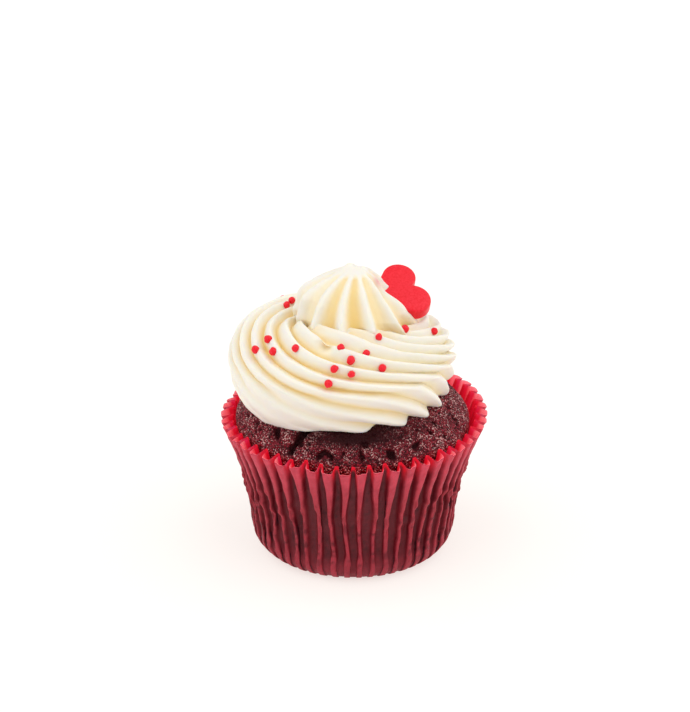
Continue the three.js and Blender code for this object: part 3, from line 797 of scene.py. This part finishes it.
class CupcakeCase(bpy.types.PropertyGroup):
    pleats: count_setting("Pleats", "Number of pleats around the case", 50)
    rim_radius: length_setting(
        "Rim radius", "Radius to the outside of the pleats at the rim", CASE_RIM_RADIUS)
    paper: length_setting("Paper", "Thickness of the paper", 0.25)
    paper_rim: colour_setting("Rim colour", "Dry paper at the rim", "cc4658")
    paper_panel: colour_setting("Panel colour", "Dry paper of the upper panels", "a83642")
    paper_foot: colour_setting("Foot colour", "Ridges near the foot", "9c2d3b")
    paper_soaked: colour_setting("Soaked colour", "Paper soaked by the cake", "4e1720")
    # Painted shade on the sides of the folds
    paper_fold_shade: colour_setting("Fold colour", "Sides of the ridges", "640412")
    # Painted light: a bright red that stands in for light through the paper at the rim, over its
    # own red
    paper_painted_glow: colour_setting("Inner colour", "Inner face and inner folds at the rim", "e8102d")
    # Painted light on the inside of the outer panels, as if lit through from behind
    paper_painted_backlight: colour_setting(
        "Translucent colour", "Inside of the outer panels, with light behind", "f47c88")


class CUPCAKE_OT_case(bpy.types.Operator):
    """Makes the pleated paper case, with its darker soaked folds"""

    bl_idname = "cupcake.case"
    bl_label = "Paper case"

    def execute(self, context):
        look = context.scene.cupcake_case
        rim_radius, paper = look.rim_radius / MM, look.paper / MM
        heights = case_heights()
        outside, share = pleated_wall(heights, 0, look.pleats, rim_radius)
        inside, _ = pleated_wall(heights, paper, look.pleats, rim_radius)
        inside[..., 2] += paper * unit(1 - heights / FOOT_ROUNDING_UP)[:, None]
        rings = np.concatenate([outside, inside[::-1]])
        skin = closed_skin([0, 0, 0], rings, [0, 0, paper])
        masks = paper_masks(outside, share, heights, look.pleats)
        case = make_object("paper_case_pleated", skin, greaseproof_paper(look), masks)
        fit_to_frame(case, "paper", "paper_case")
        return {"FINISHED"}


# ---- Cake

def dome_pull(radius, azimuth):
    """How far the dome is drawn in on the side where the rim stands off: a power of the cosine
    round it, times a ramp towards its edge."""
    outwards = unit((radius - DOME_PULL_FROM) / DOME_PULL_OVER)
    return DOME_PULL * towards(azimuth, OPENED_AZIMUTH, DOME_PULL_POWER) * outwards


def dome_height(radius, azimuth=math.pi):
    """Height of the cake: a flat crown that falls away ever faster towards its edge, as a
    power of one minus a power of the radius."""
    pulled = radius + dome_pull(radius, azimuth)
    crown = 1 - unit(pulled / DOME_EDGE_RADIUS) ** DOME_POWER
    return mix(DOME_EDGE_HEIGHT, CAKE_TOP, crown**DOME_SHOULDER)


def crack_depth(points):
    """How deep the cracks are: each is a rounded furrow along a line on the plan."""
    deepest = np.zeros(points.shape[:-1])
    plan = points[..., :2] + 0.35 * np.stack(
        [soft_noise(points, 0.9, 31), soft_noise(points, 0.9, 32)], axis=-1)
    for from_azimuth, from_radius, to_azimuth, to_radius, width, depth in CRACKS:
        start = polar(from_azimuth * DEGREE, from_radius, 0)[:2]
        along = polar(to_azimuth * DEGREE, to_radius, 0)[:2] - start
        share = unit((plan - start) @ along / (along @ along))
        off = np.linalg.norm(plan - start - share[..., None] * along, axis=-1)
        deepest = np.maximum(deepest, depth * hill(off, 0, width))
    return deepest


def dome_profile(edge_radius, spacing):
    """Radii from the edge to the middle, evenly spaced along the dome's curve where it shows
    and five times as far apart under the icing."""
    fine = edge_radius * (1 - np.linspace(0, 1, 4001) ** 2)
    steps = np.hypot(np.diff(fine), np.diff(dome_height(fine)))
    shown = fine[1:] > ICING_EDGE_INSIDE
    length = np.concatenate([[0], np.cumsum(steps * np.where(shown, 1, 0.2))])
    return np.interp(np.arange(0, length[-1], spacing), length, fine)


class CupcakeCake(bpy.types.PropertyGroup):
    around: count_setting("Columns", "Points around the cake", 900)
    relief: length_setting("Crumb relief", "Height of the grains", 0.42)
    crumb_colour: colour_setting("Crumb colour", "Most of the crumb", "a42e3e")
    # Painted glints on the crumb, standing in for highlights
    crumb_painted_glint: colour_setting("Light crumb", "Damp flecks", "ecbcb8")
    # Darker grains, and painted shade in pits and cracks
    crumb_dark_and_shade: colour_setting("Dark crumb", "Pits and cracks", "2a0307")
    crumb_red: colour_setting("Red crumb", "Redder patches", "9c1024")
    # Painted shadow of the icing on the crumb
    crumb_painted_shadow: colour_setting("Shaded crumb", "Moist crumb along the icing", "2c0409")


class CUPCAKE_OT_cake(bpy.types.Operator):
    """Makes the domed cake, with its grains, pits and cracks as relief"""

    bl_idname = "cupcake.cake"
    bl_label = "Cake"

    def execute(self, context):
        look = context.scene.cupcake_cake
        case = context.scene.cupcake_case
        azimuth = np.arange(look.around) / look.around * TURN
        # The side follows the paper, and leans in to the dome's edge at the top
        side_heights = np.linspace(CAKE_BOTTOM, DOME_EDGE_HEIGHT + 1.5, 14)[:, None]
        side_radius = case_radius(side_heights - CAKE_BOTTOM, azimuth, case.rim_radius / MM)
        side_radius = side_radius - deepest_fold(side_heights) - (case.paper / MM + CAKE_TO_PAPER)
        edge_radius = side_radius[-1].min()
        over = (side_heights / side_heights[-1]) ** 6
        side_radius = mix(side_radius, edge_radius - dome_pull(edge_radius, azimuth), over)
        sides = polar(azimuth, side_radius, side_heights)
        radii = dome_profile(edge_radius, DOME_SPACING)[:, None]
        radii = radii - dome_pull(radii, azimuth)
        dome = polar(azimuth, radii, dome_height(radii, azimuth))
        # Grains are half balls, holes are cups round some middles, and both lie on soft lumps
        grains, number = grain_noise(dome, GRAIN, 40)
        lumps = layered_noise(dome, 45, (1, 2.4), (0.5, 1.2))
        holes, chance = grain_noise(dome, HOLE_SPACING, 50)
        holes = unit(1.6 - holes / 0.26) * (chance > 0.6)
        cracks = crack_depth(dome)
        rounded = np.sqrt(unit(1 - (grains / 0.95) ** 2))
        relief = look.relief / MM * (rounded * mix(0.55, 1, number) - 0.75)
        beside_paper = unit((radii - edge_radius + 1.6) / 1.2)
        relief = relief + LUMP_HEIGHT * lumps - HOLE_DEPTH * holes
        relief = relief - cracks - FURROW_DEPTH * beside_paper
        shown = unit((radii - ICING_EDGE_INSIDE) / 1.5)
        relief = mix(-UNDER_ICING, relief, shown) * unit(np.arange(len(radii)) / 3)[:, None]
        dome = dome + grid_normals(dome) * relief[..., None]
        rings = np.concatenate([sides, dome[1:-1]])
        skin = closed_skin([0, 0, CAKE_BOTTOM], rings, [0, 0, dome_height(0) - UNDER_ICING])
        # How far a point lies in a hole, a crack or a gap between grains: the crumb is painted
        # darker there, as shade
        pit = unit(holes * 0.9 + cracks / 1.1 + unit((grains - 0.55) / 0.35) * 0.55)
        # Painted shadow of the icing on the crumb, darkest at the front
        near = towards(azimuth, SHADE_AZIMUTH, 5)
        reach = np.broadcast_to(unit((SHADE_RADIUS - radii) / SHADE_FADE), pit.shape)
        shade = unit(0.3 * near + reach * mix(0.05, 0.75, near))
        blank = np.zeros(sides.shape[:2])
        masks = {"pit": with_ends(blank, pit[1:-1]), "shade": with_ends(blank, shade[1:-1])}
        cake = make_object("cake_crumb", skin, moist_crumb(look), masks)
        fit_to_frame(cake, "crumb", "cake")
        return {"FINISHED"}


# ---- Icing

def ridges_up_to(azimuth):
    """Ridges counted round the ring up to an azimuth."""
    count = RIDGES_AROUND * azimuth / TURN
    for times, (sway, phase) in enumerate(RIDGE_SWAYS, 1):
        count = count + sway * np.sin(times * azimuth + phase * DEGREE)
    return count


def azimuth_after(ridges):
    """The azimuth at which that count is reached, by Newton's method."""
    azimuth = ridges * TURN / RIDGES_AROUND
    for _ in range(12):
        slope = RIDGES_AROUND / TURN
        for times, (sway, phase) in enumerate(RIDGE_SWAYS, 1):
            slope = slope + times * sway * np.cos(times * azimuth + phase * DEGREE)
        azimuth = azimuth - (ridges_up_to(azimuth) - ridges) / slope
    return azimuth


def skewed(across):
    """Where the steps across a ridge lie when its crest is moved towards its upper side: each
    is moved by the square of a sine, and the grooves stay."""
    return across - RIDGE_SKEW * np.sin(math.pi * across) ** 2


def plan_place(points):
    """Radius and azimuth of points about the middle of the cake."""
    return np.hypot(points[..., 0], points[..., 1]), np.arctan2(points[..., 1], points[..., 0])


def groove_depth(azimuth, down, depth):
    """Depth of the grooves: softer towards the middle, and smeared low down at the left."""
    smeared = towards(azimuth, SMEAR_AZIMUTH, 2) * unit((down - SMEAR_DOWN) / 0.3)
    wiped = towards(azimuth, WIPED_AZIMUTH, 4) * unit((down - WIPED_DOWN) / 0.16)
    return depth * mix(0.7, 1, unit(1.4 * down)) * (1 - 0.55 * smeared) * (1 - 0.9 * wiped)


def ring_point(azimuth, down, across, depth):
    """A point of the ring. The way down goes from 0 in the middle to 1 at the edge. Its section
    is made of quarter ellipses that meet on top, the outer one bends back under itself, and
    each ridge is a power of a cosine across it, 0 on its crest and 0.5 in the groove."""
    crest = np.abs(np.cos(math.pi * across)) ** RIDGE_SHARPNESS
    cut = groove_depth(azimuth, down, depth) * (1 - crest)
    edge_radius = RING_EDGE_RADIUS + RING_SPREAD * towards(azimuth, SPREAD_AZIMUTH, 2)
    edge = polar(azimuth, edge_radius - cut, 0) + RING_CENTRE
    edge_height = dome_height(*plan_place(edge)) + ICING_OVER_CAKE
    rise = RING_RISE - RING_SINK * (0.5 + 0.5 * np.cos(azimuth)) ** 2
    collar = COLLAR * hill(down, COLLAR_DOWN, COLLAR_REACH)
    rise = rise + collar * towards(azimuth, COLLAR_AZIMUTH, 1.5)
    undercut = np.arccos((edge_radius - SECTION_RADIUS) / RING_REACH_OUT)
    share = (down - TOP_SHARE) / (1 - TOP_SHARE)
    angle = TURN / 4 - share * (TURN / 4 + undercut)
    fall = (SECTION_HEIGHT - edge_height) / np.sin(undercut)
    inner_radius = SECTION_RADIUS * down / TOP_SHARE
    from_top = unit((SECTION_RADIUS - inner_radius) / RING_REACH_IN)
    inner_height = SECTION_HEIGHT + rise * np.sqrt(1 - from_top**2) - cut
    outer_radius = SECTION_RADIUS + (RING_REACH_OUT - cut) * np.cos(angle)
    outer_height = SECTION_HEIGHT + np.where(angle > 0, rise - cut, fall) * np.sin(angle)
    radius = np.where(down < TOP_SHARE, inner_radius, outer_radius)
    height = np.where(down < TOP_SHARE, inner_height, outer_height)
    return polar(azimuth, radius, height) + RING_CENTRE


def ring_skin(look):
    """The ring's skin with its columns along the ridges, on an underside that follows the dome.
    Its masks say how deep in a groove a point lies, and how much painted golden shade it gets:
    a power of that depth, on one side, low down, and in the crease round the foot of the drop."""
    columns = RIDGES_AROUND * look.ridge_columns
    ridge = np.arange(columns) / look.ridge_columns
    down = np.linspace(1, 0.16, look.ring_rows)[:, None]
    azimuth = azimuth_after(RIDGES_DOWN * down + RIDGE_START + skewed(ridge))
    depth = look.ridge_depth / MM
    rings = ring_point(azimuth, down, ridge, depth)
    groove = 1 - np.abs(np.cos(math.pi * ridge)) ** RIDGE_SHARPNESS
    groove = groove * groove_depth(azimuth, down, 1.0)
    pinch_place = ring_point(np.array(PINCH_AZIMUTH), np.array(PINCH_DOWN), np.array(0.0), depth)
    pinch = hill(np.linalg.norm(rings - pinch_place, axis=-1), 0, PINCH_REACH)
    uneven = layered_noise(rings, 61, (0.22, 7), (0.12, 2.6), (0.05, 0.9))
    rings = rings + grid_normals(rings) * (uneven - PINCH * pinch)[..., None]
    under_share = np.sin(np.arange(1, 13)[:, None] / 13 * TURN / 4)
    plan = rings[0, :, :2]
    radius, around = plan_place(plan)
    under_height = dome_height(under_share * radius, around) + ICING_OVER_CAKE
    under = np.concatenate([under_share[..., None] * plan, under_height[..., None]], axis=-1)
    low = unit((down - 0.6) / 0.15)
    # Painted golden shade deep in the grooves: most on one side and low down, least on the other,
    # and in the crease round the drop's foot and at the pinch
    painted_gold = unit(groove**2.5 * (0.1 + towards(azimuth, PAINTED_GOLD_AZIMUTH, 0.8) + 0.7 * low))
    painted_gold = painted_gold * (1 - 0.8 * towards(azimuth, FAINTEST_GOLD_AZIMUTH, 1.5))
    from_drop = np.linalg.norm(rings[..., :2] - PEAK_CENTRE - PEAK_TUCK_SHIFT / 2, axis=-1)
    crease = unit((PEAK_RADIUS + 0.6 - from_drop) / 2.4) * mix(0.25, 1, unit(groove))
    painted_gold = np.maximum(np.maximum(painted_gold, 0.7 * crease), 0.6 * pinch)
    blank = np.zeros(under.shape[:2])
    return closed_skin(
        [0, 0, dome_height(0) + ICING_OVER_CAKE],
        np.concatenate([under, rings]),
        RING_CENTRE + (0, 0, RING_MIDDLE_HEIGHT),
    ), {
        "groove": with_ends(blank, unit(groove + 0.4 * pinch)),
        "painted_gold": with_ends(blank, painted_gold),
    }


def peak_skin(look):
    """The drop's skin and masks: sections with one fin after another, whose radius falls off as
    a power of the height, turning a little on the way up. Bell curves of the height swell it
    at one side and push it in at another, and two soft lumps lie at the very top."""
    fin = np.arange(PEAK_FINS * look.fin_columns) / look.fin_columns
    around = PEAK_FIRST_FIN + fin / PEAK_FINS * TURN
    up = np.sin(np.linspace(0, 1, look.peak_rows) * TURN / 4)[:, None]
    height = np.concatenate([[[PEAK_ROOT]], mix(PEAK_FOOT, ICING_TOP - TIP_SINK, up)])
    up = np.concatenate([[[0.0]], up])
    tucked = np.maximum(0, 1 - up / PEAK_TUCK_SHARE)
    slimness = (1 - up**PEAK_BULGE) ** PEAK_TAPER * (1 - PEAK_TUCK * tucked)
    slimness = np.maximum(slimness, 0.02)
    crest = np.abs(np.cos(math.pi * fin)) ** PEAK_FIN_SHARPNESS
    side = towards(around, SHOULDER_AZIMUTH, 3)
    cut = (1 - crest) * unit((0.985 - up) / 0.07) * (1 - 0.4 * side)
    radius = slimness * (PEAK_RADIUS - look.fin_depth / MM * cut)
    bulge = SHOULDER * hill(up, SHOULDER_UP, SHOULDER_REACH)
    radius = radius + side * (bulge - SHOULDER_TUCK * (1 - up))
    pushed = towards(around, NOTCH_AZIMUTH, 7) * hill(up, NOTCH_UP, NOTCH_REACH)
    radius = radius - NOTCH * pushed
    wander = 1.6 * DEGREE * soft_noise(polar(fin / PEAK_FINS * TURN, 9, 18 * up), 6, 71)
    azimuth = around + PEAK_TWIST * up + wander
    rings = polar(azimuth, radius, height)
    rings[..., :2] += PEAK_CENTRE + PEAK_TUCK_SHIFT * tucked[..., None]
    rings[..., 0] += PEAK_LEAN * up**3
    uneven = layered_noise(rings, 72, (0.2, 6), (0.12, 2.2), (0.05, 0.9)) * unit((1 - up) / 0.05)
    rings = rings + grid_normals(rings) * uneven[..., None]
    for x, y, lump, reach in TIP_LUMPS:
        off = np.hypot(rings[..., 0] - x, rings[..., 1] - y)
        rings[..., 2] += lump * hill(off, 0, reach) * unit(up * 4 - 3)
    # Painted golden shade between the fins, most on the front, and round the drop's foot
    painted_gold = cut**2 * (0.3 + 0.7 * towards(azimuth, PAINTED_GOLD_FIN, 4)) * mix(1, 0.6, up)
    painted_gold = np.maximum(painted_gold, 0.7 * unit((0.3 - up) / 0.22) * mix(0.4, 1, cut))
    tip = [PEAK_CENTRE[0] + PEAK_LEAN, PEAK_CENTRE[1], rings[-1, :, 2].mean()]
    skin = closed_skin([*(PEAK_CENTRE + PEAK_TUCK_SHIFT), PEAK_ROOT], rings, tip)
    return skin, {"groove": with_ends(cut), "painted_gold": with_ends(painted_gold)}


def join_solids(body, other):
    """Unites two closed objects into the first and removes the other."""
    union = body.modifiers.new("union", "BOOLEAN")
    union.operation = "UNION"
    union.solver = "MANIFOLD"
    union.object = other
    bpy.context.view_layer.update()
    seen = bpy.context.evaluated_depsgraph_get()
    joined = bpy.data.meshes.new_from_object(body.evaluated_get(seen), depsgraph=seen)
    if len(joined.polygons) <= len(body.data.polygons) / 2:
        raise RuntimeError("the ring and the drop of icing didn't unite")
    body.modifiers.clear()
    body.data = joined
    bpy.data.objects.remove(other)


class CupcakeIcing(bpy.types.PropertyGroup):
    ridge_depth: length_setting("Ridge depth", "Depth of the ring's grooves", 2.45)
    fin_depth: length_setting("Fin depth", "Depth between the drop's fins", 3.5)
    ridge_columns: count_setting("Ridge columns", "Points across a ridge of the ring", 20)
    ring_rows: count_setting("Ring rows", "Points from the ring's edge to its middle", 150)
    fin_columns: count_setting("Fin columns", "Points across a fin of the drop", 24)
    peak_rows: count_setting("Drop rows", "Points up the drop", 96)
    icing_crest: colour_setting("Crest colour", "Icing on the ridges", "f1ede2")
    # Painted warm light in the grooves
    icing_groove_painted_warmth: colour_setting("Groove colour", "Icing in the grooves", "f8eed2")
    # Painted golden shade in the deepest grooves and creases
    icing_painted_gold: colour_setting(
        "Golden colour", "Icing at the bottom of the deepest grooves", "f2cd70")
    icing_stain: colour_setting("Stain colour", "Where the heart's colour has run", "e8929a")


class CUPCAKE_OT_icing(bpy.types.Operator):
    """Makes the piped ring and the finned drop of icing as one body"""

    bl_idname = "cupcake.icing"
    bl_label = "Icing"

    def execute(self, context):
        look = context.scene.cupcake_icing
        material = butter_icing(look)
        skin, masks = ring_skin(look)
        icing = make_object("icing_piped", skin, material, masks)
        skin, masks = peak_skin(look)
        join_solids(icing, make_object("icing_drop", skin, material, masks))
        mesh = icing.data
        points = np.empty(len(mesh.vertices) * 3, np.float32)
        mesh.vertices.foreach_get("co", points)
        from_heart = np.linalg.norm(points.reshape(-1, 3) / MM - HEART_STAIN, axis=-1)
        set_mask(mesh, "stain", 0.8 * hill(from_heart, 0, STAIN_REACH))
        mesh.shade_smooth()
        fit_to_frame(icing, "icing", "icing")
        return {"FINISHED"}


# ---- Sprinkles

def unit_ball(rings, columns):
    """Points of a unit ball on a grid of latitudes and longitudes, with its two poles apart."""
    latitude = (np.arange(1, rings + 1) / (rings + 1) - 0.5)[:, None] * math.pi
    azimuth = np.arange(columns) / columns * TURN
    return closed_skin([0, 0, -1], polar(azimuth, np.cos(latitude), np.sin(latitude)), [0, 0, 1])


class CupcakeSugar(bpy.types.PropertyGroup):
    sprinkle_radius: length_setting("Sprinkle radius", "Radius of a sprinkle", 1.08)
    heart_width: length_setting("Heart width", "Width over both lobes", 17.8)
    heart_thickness: length_setting("Heart thickness", "From face to face", 4.4)
    sugar_red: colour_setting("Sugar colour", "Most of the sugar", "ea0c22")
    sugar_light: colour_setting("Light sugar", "Lighter specks", "f3283a")


class CUPCAKE_OT_sprinkles(bpy.types.Operator):
    """Makes the small uneven balls of sugar on the ring"""

    bl_idname = "cupcake.sprinkles"
    bl_label = "Sprinkles"

    def execute(self, context):
        look = context.scene.cupcake_sugar
        depth = context.scene.cupcake_icing.ridge_depth / MM
        draw = seeded_random(5)
        behind = [
            (mix(40, 140, next(draw)), mix(0.48, 0.78, next(draw)))
            for _ in range(SPRINKLES_BEHIND)
        ]
        azimuth, down = np.concatenate([SPRINKLE_PLACES, behind]).T
        azimuth = azimuth * DEGREE
        # Where each lies across its ridge, found by undoing the skew step by step
        place = ridges_up_to(azimuth) - RIDGES_DOWN * down - RIDGE_START
        across = place
        for _ in range(8):
            across = across + place - skewed(across)
        # Outwards from the middle of the ring's section
        section = polar(azimuth, SECTION_RADIUS, SECTION_HEIGHT) + RING_CENTRE
        outwards = ring_point(azimuth, down, 0 * down, depth) - section
        outwards = outwards / np.linalg.norm(outwards, axis=-1, keepdims=True)
        proud = np.full((len(azimuth), 1), SPRINKLE_PROUD)
        proud[SPRINKLES_SUNK] -= SPRINKLE_SUNK
        middles = ring_point(azimuth, down, across, depth) + proud * outwards
        ball, quads, triangles = unit_ball(15, 24)
        uneven = np.random.default_rng(5).uniform(0.92, 1.06, len(middles))
        radius = look.sprinkle_radius / MM * uneven[:, None]
        bodies = ball * radius[..., None] + middles[:, None]
        lumps, _ = grain_noise(bodies, 0.8, 81)
        swell = 0.16 * soft_noise(bodies, 1.0, 82) - 0.14 * unit(lumps - 0.3)
        bodies = bodies + ball * (swell * radius)[..., None]
        shift = (np.arange(len(middles)) * len(ball))[:, None, None]
        skin = (
            bodies.reshape(-1, 3),
            (quads + shift).reshape(-1, 4),
            (triangles + shift).reshape(-1, 3),
        )
        material = pressed_sugar("rolled_sugar", look, 0.45, 0.2)
        sprinkles = make_object("sprinkles_sugar", skin, material)
        fit_to_frame(sprinkles, "sugar", "icing")
        return {"FINISHED"}


# ---- Heart

def turn_about(axis, angle):
    """The 3 by 3 matrix of a turn about an axis."""
    return np.array(Matrix.Rotation(angle, 3, axis))


def heart_outline(width):
    """The heart's outline as points, anticlockwise from the notch's left: an arc for each lobe,
    and from its cheek a quadratic curve to the point below."""
    half = width / 2
    offset, lobe = 0.484 * half, 0.516 * half
    notch = math.acos(offset / lobe)
    cheek = 38 * DEGREE
    turn = np.linspace(math.pi - notch, -cheek, 60)
    right = np.stack([offset + lobe * np.cos(turn), lobe * np.sin(turn)], axis=-1)
    share = np.linspace(0, 1, 30)[1:, None]
    control, point = np.array([0.5 * half, -0.78 * half]), np.array([0, -1.15 * half])
    side = (1 - share) ** 2 * right[-1] + 2 * share * (1 - share) * control + share**2 * point
    right = np.concatenate([right, side])
    left = right[::-1][1:-1] * (-1, 1)
    return np.concatenate([right, left])[::-1]


class CUPCAKE_OT_heart(bpy.types.Operator):
    """Makes the pressed sugar heart, stuck point first into the drop"""

    bl_idname = "cupcake.heart"
    bl_label = "Sugar heart"

    def execute(self, context):
        look = context.scene.cupcake_sugar
        width, thickness = look.heart_width / MM, look.heart_thickness / MM
        centre = np.array([0, -0.12 * width])
        spokes = heart_outline(width) - centre
        # Round the section's edge: a superellipse from the back face's middle to the front's
        latitude = np.linspace(-1, 1, 61)[1:-1, None] * TURN / 4
        reach = np.abs(np.cos(latitude)) ** HEART_FLATNESS
        level = np.sign(latitude) * np.abs(np.sin(latitude)) ** HEART_FLATNESS
        plan = centre + reach[..., None] * spokes
        height = np.broadcast_to(level * thickness / 2, plan.shape[:2])
        rings = np.concatenate([plan, height[..., None]], axis=-1)
        points, quads, triangles = closed_skin(
            [*centre, -thickness / 2], rings, [*centre, thickness / 2])
        turn = turn_about("Z", HEART_TURN) @ turn_about("X", TURN / 4 - HEART_LEAN)
        points = points @ (turn @ turn_about("Z", HEART_ROLL)).T + HEART_CENTRE
        material = pressed_sugar("pressed_sugar", look, 0.6, 0.06)
        heart = make_object("sugar_heart_pressed", (points, quads, triangles), material)
        fit_to_frame(heart, "sugar", "sugar_heart")
        return {"FINISHED"}


# ---- Stage

CAMERA_PLACE = np.array([0, -451.3, 253.3])
CAMERA_PITCH = 23.67 * DEGREE
CAMERA_YAW = 0.28 * DEGREE
CAMERA_LENS = 91.3
# Broad soft lights: name, azimuth they shine from, elevation, and strength
SOFT_LIGHTS = (
    ("right_light", -12 * DEGREE, 50 * DEGREE, 1.05),
    ("left_light", 190 * DEGREE, 48 * DEGREE, 0.9),
)
SOFTNESS = 75 * DEGREE


class CupcakeStage(bpy.types.PropertyGroup):
    floor_colour: colour_setting("Floor colour", "Plain pale floor", "a8a6a4")
    floor_light: colour_setting("Floor light", "Light that comes through the floor", "fff9f4")
    sky: bpy.props.FloatProperty(
        name="Room light", description="Strength of the even light from all around",
        default=0.64)
    floor_size: length_setting("Floor size", "Side of the square floor", 9000)


class CUPCAKE_OT_stage(bpy.types.Operator):
    """Makes the floor, the soft lights and the camera"""

    bl_idname = "cupcake.stage"
    bl_label = "Stage"

    def execute(self, context):
        look = context.scene.cupcake_stage
        scene = context.scene
        half = look.floor_size / MM / 2
        corners = half * np.array([[-1, -1, 0], [1, -1, 0], [1, 1, 0], [-1, 1, 0]])
        skin = (corners, np.arange(4)[None], np.empty((0, 3), int))
        floor = make_object("floor", skin, backlit_acrylic(look))
        world = bpy.data.worlds.new("pale_room")
        world.use_nodes = True
        tree = world.node_tree
        room = tree.nodes["Background"]
        room.inputs["Color"].default_value = (1, 1, 1, 1)
        # The room's light is dimmer than the white that is seen behind the cupcake
        seen = add_node(tree, "ShaderNodeLightPath").outputs["Is Camera Ray"]
        strength = add_node(tree, "ShaderNodeMapRange", {0: seen, 3: look.sky, 4: 1.0})
        tree.links.new(strength.outputs[0], room.inputs["Strength"])
        scene.world = world
        for name, azimuth, elevation, energy in SOFT_LIGHTS:
            light = bpy.data.lights.new(name, "SUN")
            light.energy = energy
            light.angle = SOFTNESS
            shine = Vector(polar(azimuth, math.cos(elevation), math.sin(elevation)))
            add_to_scene(name, light).rotation_euler = shine.to_track_quat("Z", "Y").to_euler()
        camera = bpy.data.cameras.new("camera")
        camera.lens = CAMERA_LENS
        camera.clip_end = 20
        scene.camera = add_to_scene("camera", camera)
        scene.camera.location = Vector(CAMERA_PLACE) * MM
        forward = Vector((
            -math.sin(CAMERA_YAW) * math.cos(CAMERA_PITCH),
            math.cos(CAMERA_YAW) * math.cos(CAMERA_PITCH),
            -math.sin(CAMERA_PITCH),
        ))
        scene.camera.rotation_euler = forward.to_track_quat("-Z", "Y").to_euler()
        scene.view_settings.view_transform = "Standard"
        return {"FINISHED"}


# ---- Panel and registration

OPERATORS = (
    CUPCAKE_OT_case, CUPCAKE_OT_cake, CUPCAKE_OT_icing, CUPCAKE_OT_sprinkles,
    CUPCAKE_OT_heart, CUPCAKE_OT_stage,
)
SETTINGS = {
    "cupcake_case": CupcakeCase,
    "cupcake_cake": CupcakeCake,
    "cupcake_icing": CupcakeIcing,
    "cupcake_sugar": CupcakeSugar,
    "cupcake_stage": CupcakeStage,
}


class CUPCAKE_PT_panel(bpy.types.Panel):
    """Lists the cupcake's pieces and their settings"""

    bl_label = "Cupcake"
    bl_idname = "CUPCAKE_PT_panel"
    bl_space_type = "VIEW_3D"
    bl_region_type = "UI"
    bl_category = "Cupcake"

    def draw(self, context):
        for operator in OPERATORS:
            self.layout.operator(operator.bl_idname)
        for label in SETTINGS:
            box = self.layout.box()
            settings = getattr(context.scene, label)
            for name in settings.__annotations__:
                box.prop(settings, name)


def register():
    for settings in SETTINGS.values():
        bpy.utils.register_class(settings)
    for operator in OPERATORS:
        bpy.utils.register_class(operator)
    bpy.utils.register_class(CUPCAKE_PT_panel)
    for label, settings in SETTINGS.items():
        setattr(bpy.types.Scene, label, bpy.props.PointerProperty(type=settings))


def unregister():
    for label in SETTINGS:
        delattr(bpy.types.Scene, label)
    bpy.utils.unregister_class(CUPCAKE_PT_panel)
    for kind in (*OPERATORS, *SETTINGS.values()):
        bpy.utils.unregister_class(kind)


def main():
    register()
    bpy.ops.cupcake.stage()
    bpy.ops.cupcake.case()
    bpy.ops.cupcake.cake()
    bpy.ops.cupcake.icing()
    bpy.ops.cupcake.sprinkles()
    bpy.ops.cupcake.heart()


if __name__ == "__main__":
    main()
